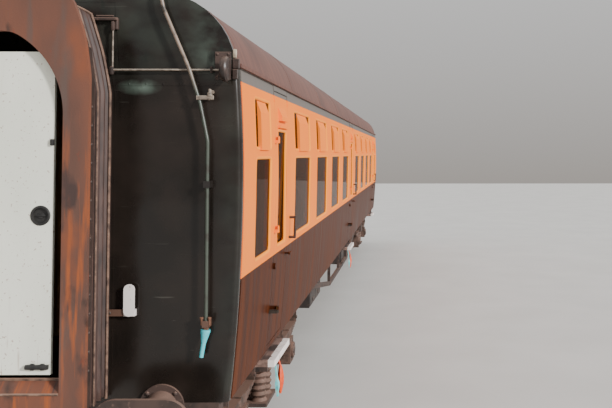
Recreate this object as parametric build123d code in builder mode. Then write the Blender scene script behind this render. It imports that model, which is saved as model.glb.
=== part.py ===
"""Passenger coach on two bogies, millimetres, +Z up.

The coach lies along Y with its near end at -Y, and its right side is at +X. The origin is at the middle of
the coach, at the bottom of the wheel flanges. Turning the coach half a turn about Z gives the same coach, so
each side and each end is drawn once and turned for the other.
"""
import os
from math import asin, cos, radians, sin, sqrt

from build123d import *

os.makedirs("parts", exist_ok=True)

# Clearances
SEAT_GAP = 0.3             # between pieces that seat on each other but can turn or are curved
DOOR_GAP = 6.0             # all round a door leaf
RUNNING_GAP = 8.0          # brake block to tread

# Body shell
BODY_LENGTH = 19660.0      # over the end panels
HALF_WIDTH = 1380.0        # to the outer skin at its widest
WAIST_Z = 2578.0           # height of the widest line
TUMBLEHOME_RADIUS = 14070.0
UPPER_SIDE_RADIUS = 9300.0
SIDE_BOTTOM_Z = 1108.0
BOTTOM_RAIL_HEIGHT = 50.0
CANTRAIL_BOTTOM_Z = 3298.0
GUTTER_Z = 3361.0
ROOF_TOP_Z = 3928.0
ROOF_RADIUS = 3300.0       # crown of the roof
ROOF_SIDE_RADIUS = 420.0   # shoulder of the roof
ROOF_LEAN = 22.4           # degrees from upright where the roof leaves the gutter
WALL = 60.0                # skin, lining and what is between them
END_WALL = 70.0
END_CORNER_RADIUS = 40.0
FLOOR_TOP_Z = 1268.0
FLOOR_THICKNESS = 60.0
GUTTER_DEPTH = 26.0
GUTTER_HEIGHT = 24.0

# Windows, evenly spaced along each saloon
WINDOWS_PER_BAY = 4
WINDOW_WIDTH = 1170.0
PANE_BOTTOM_Z = 1975.0
PANE_TOP_Z = 2735.0
LIGHT_BOTTOM_Z = 2804.0    # top light above its transom
LIGHT_TOP_Z = 3185.0
WINDOW_RADIUS = 50.0
LIGHT_RADIUS = 35.0
LAV_WINDOW_WIDTH = 640.0
LAV_WINDOW_FROM_END = 835.0
GLASS_INSET = 12.0
DROPLIGHT_INSET = 30.0     # at the foot of a door's glass, which leans inwards
GLASS_THICKNESS = 8.0
COWL_WIDTH = 700.0         # ventilator hood over each top light
LAV_COWL_WIDTH = 360.0
COWL_PROJECTION = 16.0
COWL_BOTTOM_Z = 2792.0
COWL_TOP_Z = 3168.0
COWL_SLOPE = 90.0          # height over which the hood closes to the skin at its top

# Side doors
DOORWAY_WIDTH = 700.0
END_DOOR_FROM_END = 1715.0
LEAF_THICKNESS = 45.0
HINGE_STANDOFF = 20.0      # hinge line outside the widest skin
HINGE_PIN_RADIUS = 6.0
HINGE_SLEEVE_RADIUS = 11.0
HINGE_LUG_HEIGHT = 26.0
HINGE_HEIGHTS = (1460.0, 2130.0, 2880.0)
HINGE_LUG_REACH = 36.0
HINGE_SLACK = 30.0         # extra reach of a lug into the skin before it is trimmed
DROPLIGHT_WIDTH = 450.0
DROPLIGHT_TOP_Z = 2968.0
DOOR_VENT_BOTTOM_Z = 3050.0
DOOR_VENT_TOP_Z = 3170.0
DOOR_VENT_WIDTH = 330.0
DOOR_VENT_PROJECTION = 34.0
DOOR_VENT_SLOPE = 0.7      # share of its height that slopes back
LEDGE_GAP = 20.0           # drip ledge over the droplight
LEDGE_PROJECTION = 22.0
DOOR_STOP_Z = 1818.0
DOOR_STOP_RADIUS = 26.0
DOOR_STOP_LENGTH = 18.0
T_HANDLE_Z = 1858.0
T_HANDLE_FROM_EDGE = 85.0
T_HANDLE_BAR = (14.0, 110.0, 20.0)
T_HANDLE_SPINDLE_RADIUS = 9.0
T_HANDLE_REACH = 46.0
GRAB_BOTTOM_Z = 1985.0
GRAB_TOP_Z = 2170.0
GRAB_FROM_DOORWAY = 95.0
GRAB_STANDOFF = 55.0
GRAB_RADIUS = 12.0

# Gangway at each end
GANGWAY_PROJECTION = 470.0
PLATE_THICKNESS = 35.0
PLATE_HALF_WIDTH = 540.0
PLATE_SHOULDER_Z = 3100.0
PLATE_TOP_HALF_WIDTH = 500.0
PLATE_ARCH_START_Z = 3668.0
PLATE_TOP_Z = 3828.0
PLATE_BOTTOM_Z = 1128.0
OPENING_HALF_WIDTH = 380.0
OPENING_BOTTOM_Z = 1268.0
OPENING_ARCH_START_Z = 3180.0
OPENING_TOP_Z = 3502.0
SILL_FRONT_Z = 1306.0
SILL_BACK_Z = 1368.0
SILL_DEPTH = 66.0
BELLOWS_WALL = 26.0
BELLOWS_FOLD_DEPTH = 42.0
BELLOWS_FOLD_THICKNESS = 22.0
BELLOWS_FOLDS = 6
TUNNEL_MARGIN = 71.0       # from the outline of the bellows to the way through them
COLLAR_THICKNESS = 34.0
COLLAR_HALF_WIDTH = 465.0
COLLAR_SHOULDER_Z = 3405.0
COLLAR_TOP_HALF_WIDTH = 363.0
COLLAR_ARCH_START_Z = 3700.0
COLLAR_TOP_Z = 3805.0
END_DOORWAY_HALF_WIDTH = 390.0
END_DOORWAY_TOP_Z = 3440.0
GANGWAY_DOOR_HALF_WIDTH = 308.0
GANGWAY_DOOR_BOTTOM_Z = 1408.0
GANGWAY_DOOR_TOP_Z = 3398.0
GANGWAY_DOOR_THICKNESS = 28.0
GANGWAY_DOOR_BEHIND_PLATE = 12.0
GANGWAY_DOOR_LOCK_X = 232.0
GANGWAY_DOOR_LOCK_Z = 2382.0
GANGWAY_DOOR_LOCK_RADIUS = 52.0
GANGWAY_DOOR_LOCK_DEPTH = 14.0
GANGWAY_HINGE_X = -340.0
GANGWAY_HINGE_RADIUS = 9.0
GANGWAY_HINGE_HEIGHTS = (1640.0, 2390.0, 3140.0)
GANGWAY_HINGE_LENGTH = 90.0
GANGWAY_SLEEVE_RADIUS = 16.0
GANGWAY_LUG_OVERLAP = 10.0
GANGWAY_DOOR_CORNER = 60.0

# Fittings on the end panels
FITTING_STANDOFF = 62.0    # pipe centres off the end panel
PIPE_RADIUS = 12.5
PIPE_FOOT_Z = 1605.0
PIPE_X = 1165.0
NOZZLE_LEAN = 9.0          # degrees towards the middle
NOZZLE_SECTIONS = (
    # distance below the pipe's foot, radius
    (0.0, 32.0),
    (14.0, 32.0),
    (94.0, 16.0),
    (185.0, 14.0),
)
CLAMP_SIZE = 44.0
ALARM_ROD_Z = 3298.0
ALARM_ROD_RADIUS = 8.0
ALARM_ROD_START_X = 552.0
ALARM_ROD_STANDOFF = 32.0
ALARM_CLAMP_XS = (575.0, 1110.0)
ALARM_DISC_X = 1278.0
ALARM_DISC_STANDOFF = 92.0
ALARM_DISC_PLATE = 110.0
ALARM_DISC_PLATE_THICKNESS = 10.0
ALARM_DISC_RADIUS = 83.0
ALARM_DISC_THICKNESS = 46.0
ALARM_POST_TOP_Z = 3618.0
LAMP_IRON_X = 650.0
LAMP_IRON_BOTTOM_Z = 1686.0
LAMP_IRON_TOP_Z = 1898.0
LAMP_IRON_WIDTH = 72.0
LAMP_IRON_THICKNESS = 12.0
LAMP_ARM_HEIGHT = 44.0
CLAMP_LIP = 5.0            # pipe clamp beyond its pipe
PIPE_BEND_RADIUS = 160.0
PIPE_ELBOW_RADIUS = 50.0
PIPE_REACH_ON_ROOF = 190.0
FILLER_BOSS_RADIUS = 34.0
FILLER_BOSS_DEPTH = 90.0
PIPE_CLAMP_HEIGHTS = (1640.0, 2560.0)
PIPE_ROUTE = (
    # distance from the centreline, height: from the foot up to the roof's edge
    (PIPE_X, PIPE_FOOT_Z),
    (PIPE_X, 2850.0),
    (1110.0, 3111.0),
    (1035.0, 3340.0),
    (862.0, 3740.0),
    (835.0, 3868.0),
)

# Inside
PARTITION_THICKNESS = 30.0
VESTIBULE_MARGIN = 85.0    # doorway edge to the saloon partition
PASSAGE_HALF_WIDTH = 420.0
INNER_DOORWAY_HALF_WIDTH = 330.0
INNER_DOORWAY_HEIGHT = 2000.0
SEAT_FROM_MIDDLE = 70.0    # middle partition to the first backs
SEAT_FROM_END = 25.0       # last backs to the end partition
AISLE_HALF_WIDTH = 255.0
SEAT_HEIGHT = 440.0
SEAT_DEPTH = 500.0
SEAT_UNDERSIDE = 230.0
SEAT_RAKE = 30.0           # fall of the cushion towards the back
SEAT_BACK_TOP = 1150.0
SEAT_BACK_HALF_THICKNESS = 60.0
SEAT_BACK_HALF_FOOT = 130.0
TABLE_HEIGHT = 720.0
TABLE_LENGTH = 700.0
TABLE_THICKNESS = 30.0
TABLE_INNER_X = 400.0
TABLE_LEG = 60.0
TABLE_CORNER = 12.0

# Underframe
SOLEBAR_HALF_SPACING = 1180.0
SOLEBAR_BOTTOM_Z = 985.0
SOLEBAR_WEB = 14.0
SOLEBAR_FLANGE = 90.0
CROSS_BEARER_WIDTH = 90.0
END_BEARER_FROM_END = 1180.0
BODY_BOLSTER_WIDTH = 320.0
HEADSTOCK_BOTTOM_Z = 958.0
HEADSTOCK_DEPTH = 130.0
HEADSTOCK_HALF_WIDTH = 1240.0
BOGIE_FROM_END = 2745.0    # middle of the bogie from the body's end
CENTRE_PLATE_RADIUS = 225.0
CENTRE_PLATE_Z = 960.0
CENTRE_PIN_RADIUS = 60.0
CENTRE_PIN_LENGTH = 110.0
TRUSS_X = 1120.0
TRUSS_BAR = 70.0
TRUSS_WIDTH = 46.0
TRUSS_BOTTOM_Z = 590.0
TRUSS_FROM_BOGIE = 2135.0  # end of the truss from the bogie's middle
STEP_LENGTH = 800.0
STEP_TOP_Z = 1052.0
STEP_THICKNESS = 56.0
STEP_OUTER_X = 1385.0
STEP_INNER_X = 1215.0
STEP_BRACKET_WIDTH = 46.0
STEP_BRACKET_THICKNESS = 12.0
STEP_BRACKET_SPREAD = 560.0
BOX_EDGE_RADIUS = 40.0
BOX_TABLE = (
    # inner x, outer x, middle counted in truss panels, length, height
    (520.0, 1085.0, 1, 1400.0, 430.0),
    (560.0, 1085.0, -2, 1300.0, 370.0),
    (-1085.0, -520.0, -1, 1400.0, 430.0),
    (-1085.0, -600.0, 2, 1300.0, 330.0),
)
VACUUM_CYLINDER_X = -300.0
VACUUM_CYLINDER_RADIUS = 230.0
VACUUM_CYLINDER_HEIGHT = 480.0
DYNAMO_X = 250.0
DYNAMO_Z = 640.0
DYNAMO_RADIUS = 190.0
DYNAMO_LENGTH = 620.0
ROOF_VENT_X = 420.0
ROOF_VENT_NECK_RADIUS = 60.0
ROOF_VENT_HEIGHT = 70.0
ROOF_VENT_SINK = 60.0
ROOF_VENT_CAP_RADIUS = 130.0
ROOF_VENT_CAP_HEIGHT = 45.0

# Buffers and coupler
BUFFER_Z = 1082.0
BUFFER_HALF_SPACING = 864.0
BUFFER_BASE_RADIUS = 150.0
BUFFER_BASE_THICKNESS = 22.0
BUFFER_BARREL_RADII = (112.0, 92.0)
BUFFER_BARREL_LENGTH = 265.0
BUFFER_RAM_RADIUS = 66.0
BUFFER_LENGTH = 450.0
BUFFER_HEAD_SIZE = (610.0, 356.0)
BUFFER_HEAD_CORNER = 150.0
BUFFER_HEAD_THICKNESS = 34.0
COUPLER_Z = 985.0
COUPLER_HEIGHT = 240.0
COUPLER_OUTLINE = (
    # distance from the headstock, distance from the centreline: shank, head, jaw and guard arm
    (0, -80),
    (120, -80),
    (200, -150),
    (330, -165),
    (380, -110),
    (350, -60),
    (270, -50),
    (255, 0),
    (290, 40),
    (360, 60),
    (380, 140),
    (330, 175),
    (220, 150),
    (120, 80),
    (0, 80),
)

# Bogies and wheelsets
RAIL_HEAD_Z = 28.0         # tread bottom above the flange bottom
WHEEL_RADIUS = 457.0
FLANGE_HEIGHT = RAIL_HEAD_Z
WHEEL_BACK_X = 680.0
WHEEL_WIDTH = 135.0
FLANGE_WIDTH = 32.0
FLANGE_ROUNDING = 6.0
TREAD_TAPER = 3.0          # the tread is this much larger at its flange and smaller at its face
RIM_THICKNESS = 62.0
RIM_FLARE = 10.0
HUB_RADIUS = 135.0
HUB_WIDTH = 185.0
HUB_FLARE = 20.0
HUB_PROUD = 10.0           # hub beyond the wheel's outer face
WEB_THICKNESS = 26.0
AXLE_RADIUS = 82.0
AXLE_WAIST = 6.0           # the axle is this much thinner in its middle
AXLE_SEAT = 60.0           # full thickness inside each wheel
JOURNAL_RADIUS = 62.0
JOURNAL_END_X = 1085.0
WHEELBASE = 2590.0
BOGIE_OVERHANG = 565.0     # side plate beyond the axle
BOGIE_SIDE_X = 960.0       # middle of the side plate
BOGIE_SIDE_THICKNESS = 50.0
BOGIE_TOP_Z = 905.0
BOGIE_CROSS_HALF_GAP = 300.0
TRANSOM_WIDTH = 110.0
TRANSOM_BOTTOM_Z = 660.0
BOGIE_HEADSTOCK_BOTTOM_Z = 770.0
HORN_WIDTH = 70.0
HORN_BOTTOM_Z = 380.0
HORN_FOOT = 90.0           # sloping edge beside each horn
SIDE_BELLY = 40.0          # side plate below the transoms
AXLEBOX_WIDTH = 250.0
AXLEBOX_HEIGHT = 280.0
AXLEBOX_DEPTH = 190.0
AXLEBOX_X = 1025.0
AXLEBOX_COVER_RADIUS = 92.0
AXLEBOX_COVER_LENGTH = 26.0
HORN_CLEARANCE = 5.0
SPRING_LEAVES = 6
SPRING_LEAF_THICKNESS = 15.0
SPRING_WIDTH = 90.0
SPRING_LENGTH = 1080.0
SPRING_SHORTEST = 340.0
SPRING_X = 1050.0
BUCKLE_WIDTH = 120.0
HANGER_WIDTH = 34.0
HANGER_TOP_Z = 800.0
SPRING_BRACKET_HEIGHT = 40.0
COIL_RADIUS = 82.0
COIL_GROOVE = 18.0
COIL_TURNS = 5
COIL_HALF_SPREAD = 120.0
COIL_X = 1010.0
PLANK_Z = 300.0
PLANK_THICKNESS = 36.0
PLANK_HALF_LENGTH = 1110.0
PLANK_HALF_WIDTH = 250.0
LINK_X = 800.0
BOLSTER_HALF_WIDTH = 240.0
BOLSTER_GAP_TOP_Z = 850.0
BOLSTER_MIDDLE_BOTTOM_Z = 560.0
BOLSTER_END_BOTTOM_Z = 640.0
BOLSTER_END_TOP_Z = 800.0
BOLSTER_FLAT = 0.45        # share of its half length that is level at the bottom
BOLSTER_RISE = 0.80        # share at which the bottom is level again
BOLSTER_TOP_SLOPE = 0.75   # share at which the top starts to rise
BOLSTER_SEAT = 1.3         # top flat, in centre plate radii
BRAKE_BLOCK_ANGLE = 19.0   # degrees each side of level
BRAKE_BLOCK_DEPTH = 52.0
BRAKE_BLOCK_WIDTH = 84.0
BRAKE_BLOCK_X = 764.0
BRAKE_CARRIER_HEIGHT = 60.0
BRAKE_HANGER_WIDTH = 46.0
BRAKE_BEAM = 54.0

# Values worked out from the sizes above
END_Y = BODY_LENGTH / 2
PLATE_FACE_Y = END_Y + GANGWAY_PROJECTION
AXLE_Z = WHEEL_RADIUS + RAIL_HEAD_Z
BOGIE_Y = END_Y - BOGIE_FROM_END
BOGIE_HALF_LENGTH = WHEELBASE / 2 + BOGIE_OVERHANG
TRUSS_END_Y = BOGIE_Y - TRUSS_FROM_BOGIE
TRUSS_POST_Y = TRUSS_END_Y / 3
CROSS_BEARER_YS = (0.0, TRUSS_POST_Y, 2 * TRUSS_POST_Y, TRUSS_END_Y, END_Y - END_BEARER_FROM_END)
PANEL_BOTTOM_Z = SIDE_BOTTOM_Z + BOTTOM_RAIL_HEIGHT
HORN_GAP = AXLEBOX_WIDTH + 2 * HORN_CLEARANCE
HORN_OUTER = WHEELBASE / 2 + HORN_GAP / 2 + HORN_WIDTH
HORN_INNER = WHEELBASE / 2 - HORN_GAP / 2 - HORN_WIDTH
HORN_TOP_Z = AXLE_Z + AXLEBOX_HEIGHT / 2 + SPRING_LEAVES * SPRING_LEAF_THICKNESS + HORN_CLEARANCE
BRAKE_HANGER_Y = WHEEL_RADIUS + RUNNING_GAP + BRAKE_BLOCK_DEPTH / 2
FLOOR_BOTTOM_Z = FLOOR_TOP_Z - FLOOR_THICKNESS
HINGE_X = HALF_WIDTH + HINGE_STANDOFF
FITTING_Y = -END_Y - FITTING_STANDOFF
THROUGH = HALF_WIDTH * 2
END_DOOR_Y = END_Y - END_DOOR_FROM_END
DOOR_PLACES = {"near": -END_DOOR_Y, "centre": 0.0, "far": END_DOOR_Y}
SALOON_START_Y = DOORWAY_WIDTH / 2 + VESTIBULE_MARGIN
SALOON_END_Y = END_DOOR_Y - DOORWAY_WIDTH / 2 - VESTIBULE_MARGIN
FIRST_BACK_Y = SALOON_START_Y + SEAT_FROM_MIDDLE
WINDOW_PITCH = (SALOON_END_Y - SEAT_FROM_END - FIRST_BACK_Y) / WINDOWS_PER_BAY
WINDOW_YS = [
    side * (FIRST_BACK_Y + WINDOW_PITCH * (bay + 0.5))
    for side in (-1, 1)
    for bay in range(WINDOWS_PER_BAY)
]
LAV_WINDOW_Y = END_Y - LAV_WINDOW_FROM_END
WALL_LENGTH = BODY_LENGTH - 2 * END_WALL
PLATE_BACK_Y = -PLATE_FACE_Y + PLATE_THICKNESS
DOOR_FRONT_Y = PLATE_BACK_Y + GANGWAY_DOOR_BEHIND_PLATE
DOOR_AXIS_Y = DOOR_FRONT_Y + GANGWAY_DOOR_THICKNESS / 2

# Tables worked out from the sizes above
WINDOW_ROWS = (
    # bottom, top, corner radius
    (PANE_BOTTOM_Z, PANE_TOP_Z, WINDOW_RADIUS),
    (LIGHT_BOTTOM_Z, LIGHT_TOP_Z, LIGHT_RADIUS),
)
SEAT_BACKS = [
    # place of the backs, whether there is a bench on each side of them
    (FIRST_BACK_Y + step * WINDOW_PITCH, step > 0, step < WINDOWS_PER_BAY)
    for step in range(WINDOWS_PER_BAY + 1)
]
BENCH_OUTLINE = (
    # distance from the middle of the backs, height above the floor
    (0, 0),
    (SEAT_BACK_HALF_FOOT, 0),
    (SEAT_BACK_HALF_FOOT, SEAT_UNDERSIDE),
    (SEAT_BACK_HALF_FOOT + SEAT_DEPTH, SEAT_UNDERSIDE),
    (SEAT_BACK_HALF_FOOT + SEAT_DEPTH, SEAT_HEIGHT),
    (SEAT_BACK_HALF_FOOT, SEAT_HEIGHT - SEAT_RAKE),
    (SEAT_BACK_HALF_THICKNESS, SEAT_BACK_TOP),
    (0, SEAT_BACK_TOP),
)
HALF_WHEELSET = (
    # distance along the axle, radius: from the middle of the axle out to the end of the journal
    (0, AXLE_RADIUS - AXLE_WAIST),
    (WHEEL_BACK_X - AXLE_SEAT, AXLE_RADIUS),
    (WHEEL_BACK_X - (HUB_WIDTH - WHEEL_WIDTH) / 2, AXLE_RADIUS),
    (WHEEL_BACK_X - (HUB_WIDTH - WHEEL_WIDTH) / 2, HUB_RADIUS),
    (WHEEL_BACK_X + WHEEL_WIDTH / 3, HUB_RADIUS + HUB_FLARE),
    (WHEEL_BACK_X + WHEEL_WIDTH / 2 - WEB_THICKNESS, WHEEL_RADIUS - RIM_THICKNESS - RIM_FLARE),
    (WHEEL_BACK_X, WHEEL_RADIUS - RIM_THICKNESS),
    (WHEEL_BACK_X, WHEEL_RADIUS + FLANGE_HEIGHT - FLANGE_ROUNDING),
    (WHEEL_BACK_X + FLANGE_WIDTH / 3, WHEEL_RADIUS + FLANGE_HEIGHT),
    (WHEEL_BACK_X + FLANGE_WIDTH, WHEEL_RADIUS + TREAD_TAPER),
    (WHEEL_BACK_X + WHEEL_WIDTH, WHEEL_RADIUS - TREAD_TAPER),
    (WHEEL_BACK_X + WHEEL_WIDTH, WHEEL_RADIUS - RIM_THICKNESS),
    (WHEEL_BACK_X + WHEEL_WIDTH / 2, WHEEL_RADIUS - RIM_THICKNESS - RIM_FLARE),
    (WHEEL_BACK_X + WHEEL_WIDTH / 3 + WEB_THICKNESS, HUB_RADIUS + HUB_FLARE),
    (WHEEL_BACK_X + WHEEL_WIDTH + HUB_PROUD, HUB_RADIUS),
    (WHEEL_BACK_X + WHEEL_WIDTH + HUB_PROUD, JOURNAL_RADIUS),
    (JOURNAL_END_X, JOURNAL_RADIUS),
)
SIDE_OUTLINE = (
    # distance from the bogie's middle, height: half the side plate, from its top round to the bolster gap
    (0, BOGIE_TOP_Z),
    (BOGIE_HALF_LENGTH, BOGIE_TOP_Z),
    (BOGIE_HALF_LENGTH, BOGIE_HEADSTOCK_BOTTOM_Z),
    (HORN_OUTER + HORN_FOOT, TRANSOM_BOTTOM_Z),
    (HORN_OUTER, HORN_BOTTOM_Z),
    (HORN_OUTER - HORN_WIDTH, HORN_BOTTOM_Z),
    (HORN_OUTER - HORN_WIDTH, HORN_TOP_Z),
    (HORN_INNER + HORN_WIDTH, HORN_TOP_Z),
    (HORN_INNER + HORN_WIDTH, HORN_BOTTOM_Z),
    (HORN_INNER, HORN_BOTTOM_Z),
    (HORN_INNER - HORN_FOOT, TRANSOM_BOTTOM_Z - SIDE_BELLY),
    (BOGIE_CROSS_HALF_GAP, TRANSOM_BOTTOM_Z - SIDE_BELLY),
    (BOGIE_CROSS_HALF_GAP, BOLSTER_GAP_TOP_Z),
    (0, BOLSTER_GAP_TOP_Z),
)
AXLE_PLACES = {
    "near_outer": -BOGIE_Y - WHEELBASE / 2,
    "near_inner": -BOGIE_Y + WHEELBASE / 2,
    "far_inner": BOGIE_Y - WHEELBASE / 2,
    "far_outer": BOGIE_Y + WHEELBASE / 2,
}


def skin_x(z, inset=0.0):
    """Half width of the body at height z, inset from the skin: two arcs that meet upright at the waist."""
    radius = TUMBLEHOME_RADIUS if z < WAIST_Z else UPPER_SIDE_RADIUS
    return HALF_WIDTH - radius + sqrt((radius - inset) ** 2 - (z - WAIST_Z) ** 2)


def skin_arcs(z_low, z_high, inset):
    """Draw the skin between two heights at an inset, one arc below the waist and one above it."""
    if z_low < WAIST_Z < z_high:
        spans = ((z_low, WAIST_Z), (WAIST_Z, z_high))
    else:
        spans = ((z_low, z_high),)
    for low, high in spans:
        middle = (low + high) / 2
        ThreePointArc((skin_x(low, inset), low), (skin_x(middle, inset), middle), (skin_x(high, inset), high))


def along_y(y):
    """Plane across the coach at a distance along it; its normal points to -Y."""
    return Plane.XZ.offset(-y)


def skin_band(z_low, z_high, outer, inner, y=0.0):
    """Section of the right side wall between two heights and two insets, at a place along the coach."""
    with BuildSketch(along_y(y)) as band:
        with BuildLine():
            skin_arcs(z_low, z_high, outer)
            skin_arcs(z_low, z_high, inner)
            for z in (z_low, z_high):
                Line((skin_x(z, inner), z), (skin_x(z, outer), z))
        make_face()
    return band.sketch


def pane_band(z_low, z_high, foot_inset=GLASS_INSET):
    """Section of a flat pane between two heights, set back from the right side's skin at both."""
    front = [(skin_x(z_low, foot_inset), z_low), (skin_x(z_high, GLASS_INSET), z_high)]
    back = [(x - GLASS_THICKNESS, z) for x, z in reversed(front)]
    with BuildSketch(along_y(0)) as band:
        with BuildLine():
            Polyline(*front, *back, close=True)
        make_face()
    return band.sketch


def roof_corners():
    """Points where the roof's lean, shoulder arc and crown arc meet, from the gutter up to the centreline."""
    lean = radians(ROOF_LEAN)
    gutter = Vector(skin_x(GUTTER_Z), GUTTER_Z)
    along = Vector(-sin(lean), cos(lean))
    crown_centre = Vector(0, ROOF_TOP_Z - ROOF_RADIUS)
    foot = gutter + Vector(-cos(lean), -sin(lean)) * ROOF_SIDE_RADIUS
    reach = ROOF_RADIUS - ROOF_SIDE_RADIUS
    offset = foot - crown_centre
    half_b = offset.dot(along)
    run = -half_b + sqrt(half_b ** 2 - offset.dot(offset) + reach ** 2)
    shoulder_centre = foot + along * run
    outward = (shoulder_centre - crown_centre).normalized()
    shoulder_start = gutter + along * run
    shoulder_end = crown_centre + outward * ROOF_RADIUS
    half_way = ((shoulder_start - shoulder_centre) + (shoulder_end - shoulder_centre)).normalized()
    shoulder_middle = shoulder_centre + half_way * ROOF_SIDE_RADIUS
    crown_half_angle = asin(shoulder_end.X / ROOF_RADIUS) / 2
    crown_middle = crown_centre + Vector(sin(crown_half_angle), cos(crown_half_angle)) * ROOF_RADIUS
    return gutter, shoulder_start, shoulder_middle, shoulder_end, crown_middle


def body_section(bottom_z, inset, y=0.0):
    """Whole cross-section of the body above a height, inset from the skin all round but at its bottom."""
    low = bottom_z - 4 * WALL
    gutter, shoulder_start, shoulder_middle, shoulder_end, crown_middle = roof_corners()
    with BuildSketch(along_y(y)) as section:
        with BuildLine() as half:
            Line((0, low), (skin_x(low), low))
            skin_arcs(low, GUTTER_Z, 0.0)
            Line(gutter, shoulder_start)
            ThreePointArc(shoulder_start, shoulder_middle, shoulder_end)
            ThreePointArc(shoulder_end, crown_middle, (0, ROOF_TOP_Z))
            mirror(half.line, about=Plane.YZ)
        make_face()
        if inset:
            offset(amount=-inset, mode=Mode.REPLACE)
        with Locations((0, bottom_z + ROOF_TOP_Z / 2)):
            Rectangle(THROUGH, ROOF_TOP_Z, mode=Mode.INTERSECT)
    return section.sketch


def hood_section(bottom_z, top_z, slope, projection, inset):
    """Section of a hood that stands out from the skin and closes to it over a slope at its top."""
    knee_z = top_z - slope
    with BuildSketch(Plane.XZ) as section:
        with BuildLine():
            skin_arcs(bottom_z, top_z, inset)
            skin_arcs(bottom_z, knee_z, -projection)
            Line((skin_x(knee_z, -projection), knee_z), (skin_x(top_z, inset), top_z))
            Line((skin_x(bottom_z, inset), bottom_z), (skin_x(bottom_z, -projection), bottom_z))
        make_face()
    return section.sketch


def box_between(low, high, mode=Mode.ADD):
    """Box between two opposite corners."""
    size = [b - a for a, b in zip(low, high)]
    middle = [(a + b) / 2 for a, b in zip(low, high)]
    with Locations(tuple(middle)):
        Box(*size, mode=mode)


def half_turn(part):
    """The same piece on the other side and the other end."""
    return part.rotate(Axis.Z, 180)


def save(part, name):
    """Label a finished piece and write it."""
    part.label = name
    export_step(part, f"parts/{name}.step")


# Side walls: eight panels between the doorways, one rail above them and one below
DOORWAY_CENTRES = sorted(DOOR_PLACES.values())
PANEL_EDGES = [-END_Y + END_WALL]
for doorway_y in DOORWAY_CENTRES:
    PANEL_EDGES += [doorway_y - DOORWAY_WIDTH / 2, doorway_y + DOORWAY_WIDTH / 2]
PANEL_EDGES.append(END_Y - END_WALL)


def window_row(bottom, top, radius):
    """Outlines of one row of the right side's windows, with the lavatory ones, in the plane of the side."""
    middle = (bottom + top) / 2
    with BuildSketch(Plane.YZ) as outlines:
        with Locations(*[(y, middle) for y in WINDOW_YS]):
            RectangleRounded(WINDOW_WIDTH, top - bottom, radius)
        with Locations((-LAV_WINDOW_Y, middle), (LAV_WINDOW_Y, middle)):
            RectangleRounded(LAV_WINDOW_WIDTH, top - bottom, radius)
    return outlines.sketch


with BuildPart() as side_panels_right:
    for start, end in zip(PANEL_EDGES[::2], PANEL_EDGES[1::2]):
        extrude(
            skin_band(PANEL_BOTTOM_Z, CANTRAIL_BOTTOM_Z, 0.0, WALL, (start + end) / 2),
            amount=(end - start) / 2,
            both=True,
        )
    for row in WINDOW_ROWS:
        extrude(window_row(*row), amount=THROUGH, mode=Mode.SUBTRACT)
save(side_panels_right.part, "side_panels_right")

with BuildPart() as side_panels_left:
    add(half_turn(side_panels_right.part))
save(side_panels_left.part, "side_panels_left")

with BuildPart() as bottom_rails:
    extrude(skin_band(SIDE_BOTTOM_Z, PANEL_BOTTOM_Z, 0.0, WALL), amount=WALL_LENGTH / 2, both=True)
    add(half_turn(bottom_rails.part))
save(bottom_rails.part, "bottom_rails")

with BuildPart() as cantrails:
    extrude(skin_band(CANTRAIL_BOTTOM_Z, GUTTER_Z, 0.0, WALL), amount=WALL_LENGTH / 2, both=True)
    add(half_turn(cantrails.part))
save(cantrails.part, "cantrails")

# Glass: one flat pane in each window, set back from the skin
with BuildPart() as window_glass:
    for bottom, top, radius in WINDOW_ROWS:
        with BuildPart(mode=Mode.PRIVATE) as panes:
            extrude(window_row(bottom, top, radius), amount=THROUGH)
            extrude(pane_band(bottom, top), amount=END_Y, both=True, mode=Mode.INTERSECT)
        add(panes.part)
    add(half_turn(window_glass.part))
save(window_glass.part, "window_glass")

# Ventilator hoods: boxes over the middle of each top light, closing to the skin at their tops
with BuildPart() as window_cowls:
    cowl_section = hood_section(
        COWL_BOTTOM_Z, COWL_TOP_Z, COWL_SLOPE, COWL_PROJECTION, GLASS_INSET - SEAT_GAP
    )
    extrude(cowl_section, amount=END_Y, both=True)
    with BuildSketch(Plane.YZ) as cowl_faces:
        with Locations(*[(y, (COWL_BOTTOM_Z + COWL_TOP_Z) / 2) for y in WINDOW_YS]):
            Rectangle(COWL_WIDTH, COWL_TOP_Z - COWL_BOTTOM_Z)
        with Locations(*[(side * LAV_WINDOW_Y, (COWL_BOTTOM_Z + COWL_TOP_Z) / 2) for side in (-1, 1)]):
            Rectangle(LAV_COWL_WIDTH, COWL_TOP_Z - COWL_BOTTOM_Z)
    extrude(cowl_faces.sketch, amount=THROUGH, mode=Mode.INTERSECT)
    add(side_panels_right.part, mode=Mode.SUBTRACT)
    add(half_turn(window_cowls.part))
save(window_cowls.part, "window_cowls")

# Roof: the section above the gutter line as a shell
with BuildPart() as roof:
    extrude(body_section(GUTTER_Z, 0.0), amount=WALL_LENGTH / 2, both=True)
    extrude(body_section(GUTTER_Z, WALL), amount=WALL_LENGTH / 2, both=True, mode=Mode.SUBTRACT)
save(roof.part, "roof")

# Ends: a panel over the whole section with rounded corners and the way through in its middle
with BuildPart() as end_near:
    extrude(body_section(SIDE_BOTTOM_Z, 0.0, -END_Y), amount=-END_WALL)
    face_edges = end_near.faces().sort_by(Axis.Y)[0].edges()
    rim = face_edges.filter_by(lambda edge: edge.center().Z > SIDE_BOTTOM_Z + 1)
    fillet(rim, radius=END_CORNER_RADIUS)
    with BuildSketch(along_y(-END_Y)):
        with Locations((0, (FLOOR_TOP_Z + END_DOORWAY_TOP_Z) / 2)):
            Rectangle(2 * END_DOORWAY_HALF_WIDTH, END_DOORWAY_TOP_Z - FLOOR_TOP_Z)
    extrude(amount=END_WALL, both=True, mode=Mode.SUBTRACT)
save(end_near.part, "end_near")

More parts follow.
